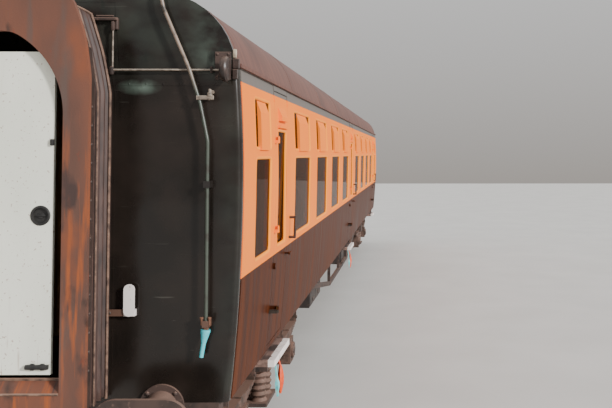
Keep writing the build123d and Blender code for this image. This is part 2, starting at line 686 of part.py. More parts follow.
with BuildPart() as end_far:
    add(half_turn(end_near.part))
save(end_far.part, "end_far")

# Rain gutters along both edges of the roof, and the floor
with BuildPart() as gutters:
    with BuildSketch(Plane.XZ):
        with Locations((skin_x(GUTTER_Z) + GUTTER_DEPTH / 2, GUTTER_Z)):
            Rectangle(GUTTER_DEPTH, GUTTER_HEIGHT)
        with Locations((skin_x(GUTTER_Z) + GUTTER_DEPTH / 2, GUTTER_Z + GUTTER_HEIGHT / 4)):
            Rectangle(GUTTER_DEPTH / 2, GUTTER_HEIGHT / 2, mode=Mode.SUBTRACT)
    extrude(amount=END_Y, both=True)
    add(cantrails.part, mode=Mode.SUBTRACT)
    add(end_near.part, mode=Mode.SUBTRACT)
    add(end_far.part, mode=Mode.SUBTRACT)
    add(half_turn(gutters.part))
save(gutters.part, "gutters")

with BuildPart() as floor:
    with BuildSketch(Plane.XZ):
        add(body_section(FLOOR_BOTTOM_Z, WALL + SEAT_GAP))
        with Locations((0, FLOOR_TOP_Z + ROOF_TOP_Z / 2)):
            Rectangle(THROUGH, ROOF_TOP_Z, mode=Mode.SUBTRACT)
    extrude(amount=WALL_LENGTH / 2, both=True)
save(floor.part, "floor")

# Inside: cross partitions with a way through, and the walls of the two compartments at each end
with BuildPart() as partitions:
    cross_ys = (SALOON_START_Y, SALOON_END_Y, END_DOOR_Y + DOORWAY_WIDTH / 2 + VESTIBULE_MARGIN)
    for cross_y in cross_ys:
        extrude(
            body_section(FLOOR_TOP_Z, WALL + SEAT_GAP, cross_y), amount=PARTITION_THICKNESS / 2, both=True
        )
    with BuildSketch(Plane.XZ):
        with Locations((0, FLOOR_TOP_Z + INNER_DOORWAY_HEIGHT / 2)):
            Rectangle(2 * INNER_DOORWAY_HALF_WIDTH, INNER_DOORWAY_HEIGHT)
    extrude(amount=END_Y, both=True, mode=Mode.SUBTRACT)
    passage_start = cross_ys[-1] + PARTITION_THICKNESS / 2
    passage_end = END_Y - END_WALL
    with BuildSketch(along_y((passage_start + passage_end) / 2)):
        add(body_section(FLOOR_TOP_Z, WALL + SEAT_GAP))
        Rectangle(2 * PASSAGE_HALF_WIDTH, 2 * ROOF_TOP_Z, mode=Mode.SUBTRACT)
        Rectangle(2 * (PASSAGE_HALF_WIDTH + PARTITION_THICKNESS), 2 * ROOF_TOP_Z, mode=Mode.INTERSECT)
    extrude(amount=(passage_end - passage_start) / 2, both=True)
    add(half_turn(partitions.part))
save(partitions.part, "partitions")

# Seats: double benches back to back between the windows, and single ones against the partitions
with BuildPart() as seats:
    seat_outer_x = skin_x(FLOOR_TOP_Z) - WALL - SEAT_GAP
    with BuildSketch(Plane.YZ.offset(AISLE_HALF_WIDTH)):
        for half in (-1, 1):
            for back_y, behind, ahead in SEAT_BACKS:
                for used, facing in ((behind, -half), (ahead, half)):
                    if used:
                        with BuildLine():
                            Polyline(
                                [(half * back_y + facing * y, FLOOR_TOP_Z + z) for y, z in BENCH_OUTLINE],
                                close=True,
                            )
                        make_face()
    extrude(amount=seat_outer_x - AISLE_HALF_WIDTH)
    add(half_turn(seats.part))
save(seats.part, "seats")

# Tables: a top at each window on both sides, with one leg towards the gangway
with BuildPart() as tables:
    table_z = FLOOR_TOP_Z + TABLE_HEIGHT
    for y in WINDOW_YS:
        box_between(
            (TABLE_INNER_X, y - TABLE_LENGTH / 2, table_z - TABLE_THICKNESS),
            (skin_x(table_z - TABLE_THICKNESS) - WALL - SEAT_GAP, y + TABLE_LENGTH / 2, table_z),
        )
        box_between(
            (TABLE_INNER_X + TABLE_LEG, y - TABLE_LEG / 2, FLOOR_TOP_Z),
            (TABLE_INNER_X + 2 * TABLE_LEG, y + TABLE_LEG / 2, table_z - TABLE_THICKNESS),
        )
    fillet(tables.edges().filter_by(Axis.Z).filter_by(lambda e: e.length < TABLE_LEG), radius=TABLE_CORNER)
    add(half_turn(tables.part))
save(tables.part, "tables")

# Side doors: a leaf that follows the side, its glass, and the hinge lugs and grab handles beside it
with BuildPart() as door_hinges:
    for door_y in DOOR_PLACES.values():
        jamb_y = door_y - DOORWAY_WIDTH / 2
        for hinge_z in HINGE_HEIGHTS:
            lug_bottom = hinge_z - HINGE_LUG_HEIGHT
            box_between(
                (skin_x(hinge_z) - HINGE_SLACK, jamb_y - HINGE_LUG_REACH, lug_bottom),
                (HINGE_X, jamb_y, hinge_z - SEAT_GAP),
            )
            with Locations((HINGE_X, jamb_y, lug_bottom)):
                Cylinder(
                    HINGE_SLEEVE_RADIUS,
                    HINGE_LUG_HEIGHT - SEAT_GAP,
                    align=(Align.CENTER, Align.CENTER, Align.MIN),
                )
                Cylinder(
                    HINGE_PIN_RADIUS,
                    2 * HINGE_LUG_HEIGHT + HINGE_PIN_RADIUS,
                    align=(Align.CENTER, Align.CENTER, Align.MIN),
                )
    add(side_panels_right.part, mode=Mode.SUBTRACT)
    box_between((0, -END_Y, SIDE_BOTTOM_Z), (skin_x(SIDE_BOTTOM_Z), END_Y, ROOF_TOP_Z), mode=Mode.SUBTRACT)
    add(half_turn(door_hinges.part))
save(door_hinges.part, "door_hinges")

with BuildPart() as grab_handles:
    for door_y in DOOR_PLACES.values():
        handle_y = door_y + DOORWAY_WIDTH / 2 + GRAB_FROM_DOORWAY
        for z in (GRAB_BOTTOM_Z, GRAB_TOP_Z):
            with Locations(Location((skin_x(z) + GRAB_STANDOFF / 2, handle_y, z), (0, 90, 0))):
                Cylinder(GRAB_RADIUS, GRAB_STANDOFF)
        with BuildLine():
            Line(
                (skin_x(GRAB_BOTTOM_Z) + GRAB_STANDOFF, handle_y, GRAB_BOTTOM_Z - GRAB_RADIUS),
                (skin_x(GRAB_TOP_Z) + GRAB_STANDOFF, handle_y, GRAB_TOP_Z + GRAB_RADIUS),
            )
        with BuildSketch(Plane.XY.offset(GRAB_BOTTOM_Z - GRAB_RADIUS)):
            with Locations((skin_x(GRAB_BOTTOM_Z) + GRAB_STANDOFF, handle_y)):
                Circle(GRAB_RADIUS)
        sweep()
    add(side_panels_right.part, mode=Mode.SUBTRACT)
    add(half_turn(grab_handles.part))
save(grab_handles.part, "grab_handles")

OPPOSITE = {"near": "far", "centre": "centre", "far": "near"}
for place, door_y in DOOR_PLACES.items():
    jamb_y = door_y - DOORWAY_WIDTH / 2
    leaf_bottom = PANEL_BOTTOM_Z + DOOR_GAP
    leaf_top = CANTRAIL_BOTTOM_Z - DOOR_GAP
    ledge_bottom = DROPLIGHT_TOP_Z + LEDGE_GAP
    lock_y = jamb_y + DOORWAY_WIDTH - T_HANDLE_FROM_EDGE

    with BuildSketch(Plane.YZ) as droplight:
        with Locations((door_y, (PANE_BOTTOM_Z + DROPLIGHT_TOP_Z) / 2)):
            RectangleRounded(DROPLIGHT_WIDTH, DROPLIGHT_TOP_Z - PANE_BOTTOM_Z, LIGHT_RADIUS)

    with BuildPart() as leaf:
        extrude(
            skin_band(leaf_bottom, leaf_top, 0.0, LEAF_THICKNESS, door_y),
            amount=DOORWAY_WIDTH / 2 - DOOR_GAP,
            both=True,
        )
        extrude(droplight.sketch, amount=THROUGH, mode=Mode.SUBTRACT)
        extrude(
            skin_band(ledge_bottom, ledge_bottom + LEDGE_GAP, -LEDGE_PROJECTION, 0.0, door_y),
            amount=DROPLIGHT_WIDTH / 2,
            both=True,
        )
        with BuildSketch(along_y(door_y)):
            add(
                hood_section(
                    DOOR_VENT_BOTTOM_Z,
                    DOOR_VENT_TOP_Z,
                    (DOOR_VENT_TOP_Z - DOOR_VENT_BOTTOM_Z) * DOOR_VENT_SLOPE,
                    DOOR_VENT_PROJECTION,
                    0.0,
                )
            )
        extrude(amount=DOOR_VENT_WIDTH / 2, both=True)
        with BuildSketch(Plane.XY.offset(leaf_bottom)):
            with Locations((HINGE_X, jamb_y)):
                Circle(DOORWAY_WIDTH - DOOR_GAP)
        extrude(amount=leaf_top - leaf_bottom, mode=Mode.INTERSECT)
        for hinge_z in HINGE_HEIGHTS:
            box_between(
                (skin_x(hinge_z) - HINGE_SLACK, jamb_y + DOOR_GAP, hinge_z),
                (HINGE_X, jamb_y + DOOR_GAP + HINGE_LUG_REACH, hinge_z + HINGE_LUG_HEIGHT),
            )
            with Locations((HINGE_X, jamb_y, hinge_z + HINGE_LUG_HEIGHT / 2)):
                Cylinder(HINGE_SLEEVE_RADIUS, HINGE_LUG_HEIGHT)
        with Locations((HINGE_X, jamb_y, leaf_bottom)):
            Cylinder(
                HINGE_PIN_RADIUS + SEAT_GAP,
                leaf_top - leaf_bottom,
                align=(Align.CENTER, Align.CENTER, Align.MIN),
                mode=Mode.SUBTRACT,
            )
        handle_x = skin_x(T_HANDLE_Z)
        with Locations(Location((handle_x + T_HANDLE_REACH / 2, lock_y, T_HANDLE_Z), (0, 90, 0))):
            Cylinder(T_HANDLE_SPINDLE_RADIUS, T_HANDLE_REACH)
        with Locations((handle_x + T_HANDLE_REACH, lock_y, T_HANDLE_Z)):
            Box(*T_HANDLE_BAR)
        stop_y = jamb_y + DOOR_GAP + DOOR_STOP_RADIUS
        stop_x = skin_x(DOOR_STOP_Z) + DOOR_STOP_LENGTH / 2
        with Locations(Location((stop_x, stop_y, DOOR_STOP_Z), (0, 90, 0))):
            Cylinder(DOOR_STOP_RADIUS, DOOR_STOP_LENGTH)
    save(leaf.part, f"door_right_{place}")
    save(half_turn(leaf.part), f"door_left_{OPPOSITE[place]}")

    with BuildPart() as pane:
        extrude(droplight.sketch, amount=THROUGH)
        pane_section = pane_band(PANE_BOTTOM_Z, DROPLIGHT_TOP_Z, DROPLIGHT_INSET)
        extrude(pane_section, amount=END_Y, both=True, mode=Mode.INTERSECT)
    save(pane.part, f"door_glass_right_{place}")
    save(half_turn(pane.part), f"door_glass_left_{OPPOSITE[place]}")


# Gangways: a face plate held off each end by folded bellows on a collar
def arched_face(y, legs, arch, bottom_z):
    """Face with upright legs and an arched top: legs and arch are each a half width and a height."""
    with BuildSketch(along_y(y)) as face:
        with BuildLine() as half:
            Line((0, bottom_z), (legs[0], bottom_z))
            Line((legs[0], bottom_z), legs)
            if arch[0] != legs[0]:
                Line(legs, (arch[0], arch[1]))
            mirror(half.line, about=Plane.YZ)
            ThreePointArc((arch[0], arch[1]), (0, arch[2]), (-arch[0], arch[1]))
        make_face()
    return face.sketch


def bellows_face(y, margin):
    """Outline of the bellows and their collar, drawn in by a margin."""
    return arched_face(
        y,
        (COLLAR_HALF_WIDTH - margin, COLLAR_SHOULDER_Z),
        (COLLAR_TOP_HALF_WIDTH - margin, COLLAR_ARCH_START_Z, COLLAR_TOP_Z - margin),
        PLATE_BOTTOM_Z + BELLOWS_WALL + margin,
    )


with BuildPart() as plate:
    extrude(
        arched_face(
            -PLATE_FACE_Y,
            (PLATE_HALF_WIDTH, PLATE_SHOULDER_Z),
            (PLATE_TOP_HALF_WIDTH, PLATE_ARCH_START_Z, PLATE_TOP_Z),
            PLATE_BOTTOM_Z,
        ),
        amount=-PLATE_THICKNESS,
    )
    extrude(
        arched_face(
            -PLATE_FACE_Y,
            (OPENING_HALF_WIDTH, OPENING_ARCH_START_Z),
            (OPENING_HALF_WIDTH, OPENING_ARCH_START_Z, OPENING_TOP_Z),
            OPENING_BOTTOM_Z,
        ),
        amount=-PLATE_THICKNESS,
        mode=Mode.SUBTRACT,
    )
    with BuildSketch(Plane.YZ):
        with BuildLine():
            Polyline(
                (-PLATE_FACE_Y, OPENING_BOTTOM_Z),
                (-PLATE_FACE_Y, SILL_FRONT_Z),
                (-PLATE_FACE_Y + SILL_DEPTH, SILL_BACK_Z),
                (-PLATE_FACE_Y + SILL_DEPTH, OPENING_BOTTOM_Z),
                close=True,
            )
        make_face()
    extrude(amount=OPENING_HALF_WIDTH, both=True)
    for hinge_z in GANGWAY_HINGE_HEIGHTS:
        lug_bottom = hinge_z - GANGWAY_HINGE_LENGTH / 2
        box_between(
            (-OPENING_HALF_WIDTH - GANGWAY_LUG_OVERLAP, PLATE_BACK_Y, lug_bottom),
            (GANGWAY_HINGE_X, DOOR_AXIS_Y + GANGWAY_SLEEVE_RADIUS, hinge_z - SEAT_GAP),
        )
        with Locations((GANGWAY_HINGE_X, DOOR_AXIS_Y, lug_bottom)):
            Cylinder(
                GANGWAY_SLEEVE_RADIUS,
                GANGWAY_HINGE_LENGTH / 2 - SEAT_GAP,
                align=(Align.CENTER, Align.CENTER, Align.MIN),
            )
            Cylinder(
                GANGWAY_HINGE_RADIUS,
                GANGWAY_HINGE_LENGTH,
                align=(Align.CENTER, Align.CENTER, Align.MIN),
            )
save(plate.part, "gangway_plate_near")
save(half_turn(plate.part), "gangway_plate_far")

with BuildPart() as bellows:
    bellows_length = GANGWAY_PROJECTION - PLATE_THICKNESS - COLLAR_THICKNESS
    extrude(bellows_face(PLATE_BACK_Y, BELLOWS_FOLD_DEPTH), amount=-bellows_length)
    fold_pitch = bellows_length / BELLOWS_FOLDS
    for fold in range(BELLOWS_FOLDS):
        fold_y = PLATE_BACK_Y + fold_pitch * (fold + 0.5)
        extrude(bellows_face(fold_y, 0.0), amount=BELLOWS_FOLD_THICKNESS / 2, both=True)
    extrude(bellows_face(PLATE_BACK_Y, TUNNEL_MARGIN), amount=-bellows_length, mode=Mode.SUBTRACT)
save(bellows.part, "gangway_bellows_near")
save(half_turn(bellows.part), "gangway_bellows_far")

with BuildPart() as gangway_collars:
    extrude(bellows_face(-END_Y, 0.0), amount=COLLAR_THICKNESS)
    extrude(bellows_face(-END_Y, TUNNEL_MARGIN), amount=COLLAR_THICKNESS, mode=Mode.SUBTRACT)
    add(half_turn(gangway_collars.part))
save(gangway_collars.part, "gangway_collars")

with BuildPart() as gangway_door:
    with BuildSketch(along_y(DOOR_FRONT_Y)):
        with Locations((0, (GANGWAY_DOOR_BOTTOM_Z + GANGWAY_DOOR_TOP_Z) / 2)):
            Rectangle(2 * GANGWAY_DOOR_HALF_WIDTH, GANGWAY_DOOR_TOP_Z - GANGWAY_DOOR_BOTTOM_Z)
    extrude(amount=-GANGWAY_DOOR_THICKNESS)
    fillet(gangway_door.edges().filter_by(Axis.Y).group_by(Axis.Z)[-1], radius=GANGWAY_DOOR_CORNER)
    with BuildSketch(along_y(DOOR_FRONT_Y)):
        with Locations((GANGWAY_DOOR_LOCK_X, GANGWAY_DOOR_LOCK_Z)):
            Circle(GANGWAY_DOOR_LOCK_RADIUS)
    extrude(amount=-GANGWAY_DOOR_LOCK_DEPTH, mode=Mode.SUBTRACT)
    door_back_y = DOOR_FRONT_Y + GANGWAY_DOOR_THICKNESS
    for hinge_z in GANGWAY_HINGE_HEIGHTS:
        box_between(
            (GANGWAY_HINGE_X, DOOR_FRONT_Y, hinge_z),
            (-GANGWAY_DOOR_HALF_WIDTH, door_back_y, hinge_z + GANGWAY_HINGE_LENGTH / 2),
        )
        with Locations((GANGWAY_HINGE_X, DOOR_AXIS_Y, hinge_z)):
            Cylinder(
                GANGWAY_SLEEVE_RADIUS,
                GANGWAY_HINGE_LENGTH / 2,
                align=(Align.CENTER, Align.CENTER, Align.MIN),
            )
            Cylinder(
                GANGWAY_HINGE_RADIUS + SEAT_GAP,
                GANGWAY_HINGE_LENGTH / 2,
                align=(Align.CENTER, Align.CENTER, Align.MIN),
                mode=Mode.SUBTRACT,
            )
save(gangway_door.part, "gangway_door_near")
save(half_turn(gangway_door.part), "gangway_door_far")

# Fittings on each end panel: filler pipe with its nozzle, alarm gear, and lamp irons
with BuildPart() as filler_pipes:
    top_x, top_z = PIPE_ROUTE[-1]
    with BuildLine():
        FilletPolyline(
            *[(x, FITTING_Y, z) for x, z in PIPE_ROUTE],
            (top_x, FITTING_Y + PIPE_REACH_ON_ROOF + FITTING_STANDOFF, top_z),
            radius=[PIPE_BEND_RADIUS] * (len(PIPE_ROUTE) - 2) + [PIPE_ELBOW_RADIUS],
        )
    with BuildSketch(Plane.XY.offset(PIPE_FOOT_Z)):
        with Locations((PIPE_X, FITTING_Y)):
            Circle(PIPE_RADIUS)
    sweep()
    with Locations((top_x, FITTING_Y + PIPE_REACH_ON_ROOF + FITTING_STANDOFF, top_z + PIPE_RADIUS)):
        Cylinder(FILLER_BOSS_RADIUS, FILLER_BOSS_DEPTH, align=(Align.CENTER, Align.CENTER, Align.MAX))
    for clamp_z in PIPE_CLAMP_HEIGHTS:
        box_between(
            (PIPE_X - CLAMP_SIZE / 2, FITTING_Y - PIPE_RADIUS - CLAMP_LIP, clamp_z - CLAMP_SIZE / 2),
            (PIPE_X + CLAMP_SIZE / 2, -END_Y, clamp_z + CLAMP_SIZE / 2),
        )
    extrude(body_section(SIDE_BOTTOM_Z, 0.0), amount=END_Y - END_WALL, both=True, mode=Mode.SUBTRACT)
    add(half_turn(filler_pipes.part))
save(filler_pipes.part, "filler_pipes")

with BuildPart() as filler_nozzles:
    lean = radians(NOZZLE_LEAN)
    nozzle_plane = Plane((PIPE_X, FITTING_Y, PIPE_FOOT_Z), x_dir=(0, 1, 0), z_dir=(-sin(lean), 0, -cos(lean)))
    for (top, top_radius), (foot, foot_radius) in zip(NOZZLE_SECTIONS, NOZZLE_SECTIONS[1:]):
        with BuildSketch(nozzle_plane.offset(top)):
            Circle(top_radius)
        with BuildSketch(nozzle_plane.offset(foot)):
            Circle(foot_radius)
        loft()
    ring_radius = NOZZLE_SECTIONS[0][1]
    with BuildSketch(Plane.XY.offset(PIPE_FOOT_Z)):
        with Locations((PIPE_X, FITTING_Y)):
            Rectangle(4 * ring_radius, 4 * ring_radius)
    extrude(amount=ring_radius, mode=Mode.SUBTRACT)
    add(half_turn(filler_nozzles.part))
save(filler_nozzles.part, "filler_nozzles")

with BuildPart() as alarm_gear:
    rod_y = -END_Y - ALARM_ROD_STANDOFF
    disc_y = -END_Y - ALARM_DISC_STANDOFF
    rod_middle = (ALARM_DISC_X + ALARM_ROD_START_X) / 2
    plate_half = ALARM_DISC_PLATE / 2
    with Locations(Location((rod_middle, rod_y, ALARM_ROD_Z), (0, 90, 0))):
        Cylinder(ALARM_ROD_RADIUS, ALARM_DISC_X - ALARM_ROD_START_X)
    with Locations(Location((ALARM_DISC_X, disc_y, ALARM_ROD_Z), (0, 90, 0))):
        Cylinder(ALARM_DISC_RADIUS, ALARM_DISC_THICKNESS)
    box_between(
        (ALARM_DISC_X - CLAMP_SIZE / 4, disc_y, ALARM_ROD_Z - CLAMP_SIZE / 2),
        (ALARM_DISC_X + CLAMP_SIZE / 4, -END_Y, ALARM_ROD_Z + CLAMP_SIZE / 2),
    )
    box_between(
        (ALARM_DISC_X - plate_half, -END_Y - ALARM_DISC_PLATE_THICKNESS, ALARM_ROD_Z - plate_half),
        (ALARM_DISC_X + CLAMP_SIZE / 2, -END_Y, ALARM_ROD_Z + plate_half),
    )
    for clamp_x in ALARM_CLAMP_XS:
        box_between(
            (clamp_x - CLAMP_SIZE / 4, rod_y - 2 * ALARM_ROD_RADIUS, ALARM_ROD_Z - CLAMP_SIZE / 2),
            (clamp_x + CLAMP_SIZE / 4, -END_Y, ALARM_ROD_Z + CLAMP_SIZE / 2),
        )
    with Locations((ALARM_ROD_START_X, rod_y, (ALARM_ROD_Z + ALARM_POST_TOP_Z) / 2)):
        Cylinder(ALARM_ROD_RADIUS, ALARM_POST_TOP_Z - ALARM_ROD_Z + 2 * ALARM_ROD_RADIUS)
    box_between(
        (ALARM_ROD_START_X - CLAMP_SIZE / 2, rod_y - ALARM_ROD_RADIUS, ALARM_POST_TOP_Z - CLAMP_SIZE / 2),
        (ALARM_ROD_START_X + 2 * CLAMP_SIZE, -END_Y, ALARM_POST_TOP_Z),
    )
    add(half_turn(alarm_gear.part))
save(alarm_gear.part, "alarm_gear")

with BuildPart() as lamp_irons:
    for side in (-1, 1):
        arm_x = sorted((side * (COLLAR_HALF_WIDTH + SEAT_GAP), side * (LAMP_IRON_X + LAMP_IRON_WIDTH / 2)))
        box_between(
            (arm_x[0], -END_Y - COLLAR_THICKNESS, LAMP_IRON_BOTTOM_Z),
            (arm_x[1], -END_Y - COLLAR_THICKNESS + LAMP_IRON_THICKNESS, LAMP_IRON_BOTTOM_Z + LAMP_ARM_HEIGHT),
        )
        box_between(
            (side * LAMP_IRON_X - LAMP_IRON_WIDTH / 2, -END_Y - COLLAR_THICKNESS, LAMP_IRON_BOTTOM_Z),
            (side * LAMP_IRON_X + LAMP_IRON_WIDTH / 2, -END_Y, LAMP_IRON_BOTTOM_Z + LAMP_ARM_HEIGHT),
        )
        with BuildSketch(along_y(-END_Y - COLLAR_THICKNESS)):
            with Locations((side * LAMP_IRON_X, (LAMP_IRON_BOTTOM_Z + LAMP_IRON_TOP_Z) / 2)):
                RectangleRounded(
                    LAMP_IRON_WIDTH, LAMP_IRON_TOP_Z - LAMP_IRON_BOTTOM_Z, LAMP_IRON_WIDTH / 2 - SEAT_GAP
                )
        extrude(amount=LAMP_IRON_THICKNESS)
    add(half_turn(lamp_irons.part))
save(lamp_irons.part, "lamp_irons")

# Underframe: channel solebars, cross bearers, bolsters with centre plates and pins, and headstocks
with BuildPart() as underframe:
    solebar_top = FLOOR_BOTTOM_Z
    solebar_height = solebar_top - SOLEBAR_BOTTOM_Z
    solebar_middle = SOLEBAR_BOTTOM_Z + solebar_height / 2
    for side in (-1, 1):
        with BuildSketch(Plane.XZ):
            with Locations((side * (SOLEBAR_HALF_SPACING - SOLEBAR_FLANGE / 2), solebar_middle)):
                Rectangle(SOLEBAR_FLANGE, solebar_height)
            with Locations((side * (SOLEBAR_HALF_SPACING - SOLEBAR_WEB), solebar_middle)):
                Rectangle(
                    2 * (SOLEBAR_FLANGE - SOLEBAR_WEB), solebar_height - 2 * SOLEBAR_WEB, mode=Mode.SUBTRACT
                )
        extrude(amount=END_Y - END_WALL, both=True)
    for bearer_y in sorted({side * y for side in (-1, 1) for y in CROSS_BEARER_YS}):
        box_between(
            (-SOLEBAR_HALF_SPACING + SOLEBAR_WEB, bearer_y - CROSS_BEARER_WIDTH / 2, SOLEBAR_BOTTOM_Z),
            (SOLEBAR_HALF_SPACING - SOLEBAR_WEB, bearer_y + CROSS_BEARER_WIDTH / 2, solebar_top),
        )
    for side in (-1, 1):
        box_between(
            (-SOLEBAR_HALF_SPACING, side * BOGIE_Y - BODY_BOLSTER_WIDTH / 2, SOLEBAR_BOTTOM_Z),
            (SOLEBAR_HALF_SPACING, side * BOGIE_Y + BODY_BOLSTER_WIDTH / 2, solebar_top),
        )
        with Locations((0, side * BOGIE_Y, SOLEBAR_BOTTOM_Z)):
            Cylinder(
                CENTRE_PLATE_RADIUS,
                SOLEBAR_BOTTOM_Z - CENTRE_PLATE_Z,
                align=(Align.CENTER, Align.CENTER, Align.MAX),
            )
            Cylinder(
                CENTRE_PIN_RADIUS,
                SOLEBAR_BOTTOM_Z - CENTRE_PLATE_Z + CENTRE_PIN_LENGTH,
                align=(Align.CENTER, Align.CENTER, Align.MAX),
            )
        headstock_ys = sorted((side * END_Y, side * (END_Y - HEADSTOCK_DEPTH)))
        box_between(
            (-HEADSTOCK_HALF_WIDTH, headstock_ys[0], HEADSTOCK_BOTTOM_Z),
            (HEADSTOCK_HALF_WIDTH, headstock_ys[1], SIDE_BOTTOM_Z),
        )
        behind_ys = sorted((side * (END_Y - END_WALL), side * (END_Y - HEADSTOCK_DEPTH)))
        box_between(
            (-SOLEBAR_HALF_SPACING, behind_ys[0], SIDE_BOTTOM_Z),
            (SOLEBAR_HALF_SPACING, behind_ys[1], solebar_top),
        )
save(underframe.part, "underframe")

with BuildPart() as trusses:
    for side in (-1, 1):
        truss_x = side * TRUSS_X - TRUSS_WIDTH / 2
        truss_top = SOLEBAR_BOTTOM_Z + TRUSS_BAR
        with BuildSketch(Plane.YZ.offset(truss_x)):
            with BuildLine():
                Polyline(
                    (-TRUSS_END_Y, truss_top),
                    (-TRUSS_POST_Y, TRUSS_BOTTOM_Z),
                    (TRUSS_POST_Y, TRUSS_BOTTOM_Z),
                    (TRUSS_END_Y, truss_top),
                )
                for post_y in (-TRUSS_POST_Y, 0, TRUSS_POST_Y):
                    Line((post_y, TRUSS_BOTTOM_Z), (post_y, truss_top))
            trace(line_width=TRUSS_BAR)
            with Locations((0, SOLEBAR_BOTTOM_Z + BODY_LENGTH / 2)):
                Rectangle(BODY_LENGTH, BODY_LENGTH, mode=Mode.SUBTRACT)
        extrude(amount=TRUSS_WIDTH)
save(trusses.part, "trusses")

# Gear under the floor, hung from the cross bearers
with BuildPart() as underfloor_boxes:
    for inner_x, outer_x, panels, length, height in BOX_TABLE:
        middle_y = panels * TRUSS_POST_Y
        box_between(
            (inner_x, middle_y - length / 2, SOLEBAR_BOTTOM_Z - height),
            (outer_x, middle_y + length / 2, SOLEBAR_BOTTOM_Z),
        )
    fillet(underfloor_boxes.edges().filter_by(Axis.Y).group_by(Axis.Z)[0], radius=BOX_EDGE_RADIUS)
save(underfloor_boxes.part, "underfloor_boxes")

with BuildPart() as underfloor_cylinders:
    for panels in (-2, 2):
        with Locations((VACUUM_CYLINDER_X, panels * TRUSS_POST_Y, SOLEBAR_BOTTOM_Z)):
            Cylinder(
                VACUUM_CYLINDER_RADIUS, VACUUM_CYLINDER_HEIGHT, align=(Align.CENTER, Align.CENTER, Align.MAX)
            )
    with Locations(Location((DYNAMO_X, TRUSS_END_Y, DYNAMO_Z), (0, 90, 0))):
        Cylinder(DYNAMO_RADIUS, DYNAMO_LENGTH)
    box_between(
        (DYNAMO_X - DYNAMO_LENGTH / 4, TRUSS_END_Y - DYNAMO_RADIUS / 2, DYNAMO_Z),
        (DYNAMO_X + DYNAMO_LENGTH / 4, TRUSS_END_Y + DYNAMO_RADIUS / 2, SOLEBAR_BOTTOM_Z),
    )
save(underfloor_cylinders.part, "underfloor_cylinders")

with BuildPart() as step_boards:
    board_bottom = STEP_TOP_Z - STEP_THICKNESS
    half_bracket = STEP_BRACKET_WIDTH / 2
    for door_y in DOOR_PLACES.values():
        box_between(
            (STEP_INNER_X, door_y - STEP_LENGTH / 2, board_bottom),
            (STEP_OUTER_X, door_y + STEP_LENGTH / 2, STEP_TOP_Z),
        )
        for side in (-1, 1):
            bracket_y = door_y + side * STEP_BRACKET_SPREAD / 2
            box_between(
                (SOLEBAR_HALF_SPACING, bracket_y - half_bracket, board_bottom - STEP_BRACKET_THICKNESS),
                (STEP_OUTER_X - STEP_BRACKET_WIDTH, bracket_y + half_bracket, board_bottom),
            )
    add(half_turn(step_boards.part))
save(step_boards.part, "step_boards")

# Buffers and couplers on the headstocks
with BuildPart() as buffers:
    for side in (-1, 1):
        buffer_axis = Plane((side * BUFFER_HALF_SPACING, -END_Y, BUFFER_Z), x_dir=(1, 0, 0), z_dir=(0, -1, 0))
        with BuildSketch(buffer_axis):
            Circle(BUFFER_BASE_RADIUS)
        extrude(amount=BUFFER_BASE_THICKNESS)
        with BuildSketch(buffer_axis):
            Circle(BUFFER_BARREL_RADII[0])
        with BuildSketch(buffer_axis.offset(BUFFER_BARREL_LENGTH)):
            Circle(BUFFER_BARREL_RADII[1])
        loft()
        with BuildSketch(buffer_axis):
            Circle(BUFFER_RAM_RADIUS)
        extrude(amount=BUFFER_LENGTH - BUFFER_HEAD_THICKNESS / 2)
        with BuildSketch(buffer_axis.offset(BUFFER_LENGTH - BUFFER_HEAD_THICKNESS)):
            RectangleRounded(BUFFER_HEAD_SIZE[0], BUFFER_HEAD_SIZE[1], BUFFER_HEAD_CORNER)
        extrude(amount=BUFFER_HEAD_THICKNESS)
    add(half_turn(buffers.part))
save(buffers.part, "buffers")

with BuildPart() as couplers:
    with BuildSketch(Plane.XY.offset(COUPLER_Z - COUPLER_HEIGHT / 2)):
        with BuildLine():
            Polyline([(x, -END_Y - reach) for reach, x in COUPLER_OUTLINE], close=True)
        make_face()
    extrude(amount=COUPLER_HEIGHT)
    add(half_turn(couplers.part))
save(couplers.part, "couplers")

# Roof ventilators: shallow shells in two rows along the roof
with BuildPart() as roof_vents:
    roof_vent_z = ROOF_TOP_Z - ROOF_RADIUS + sqrt(ROOF_RADIUS ** 2 - ROOF_VENT_X ** 2)
    for y in WINDOW_YS:
        with Locations((ROOF_VENT_X, y, roof_vent_z - ROOF_VENT_SINK)):
            Cylinder(
                ROOF_VENT_NECK_RADIUS,
                ROOF_VENT_SINK + ROOF_VENT_HEIGHT,
                align=(Align.CENTER, Align.CENTER, Align.MIN),
            )
        with Locations((ROOF_VENT_X, y, roof_vent_z + ROOF_VENT_HEIGHT)):
            Cone(
                ROOF_VENT_CAP_RADIUS,
                ROOF_VENT_NECK_RADIUS,
                ROOF_VENT_CAP_HEIGHT,
                align=(Align.CENTER, Align.CENTER, Align.MAX),
            )
    extrude(body_section(GUTTER_Z, 0.0), amount=END_Y, both=True, mode=Mode.SUBTRACT)
    add(half_turn(roof_vents.part))
save(roof_vents.part, "roof_vents")

# Wheelsets: axle and two wheels as one turned piece
for place, axle_y in AXLE_PLACES.items():
    with BuildPart() as wheelset:
        with BuildSketch(Plane.XZ.offset(-axle_y)):
            with BuildLine():
                Polyline(
                    (0, AXLE_Z),
                    *[(x, AXLE_Z + radius) for x, radius in HALF_WHEELSET],
                    (JOURNAL_END_X, AXLE_Z),
                    close=True,
                )
            make_face()
            mirror(about=Plane.YZ)
        revolve(axis=Axis((0, axle_y, AXLE_Z), (1, 0, 0)))
    save(wheelset.part, f"wheelset_{place}")

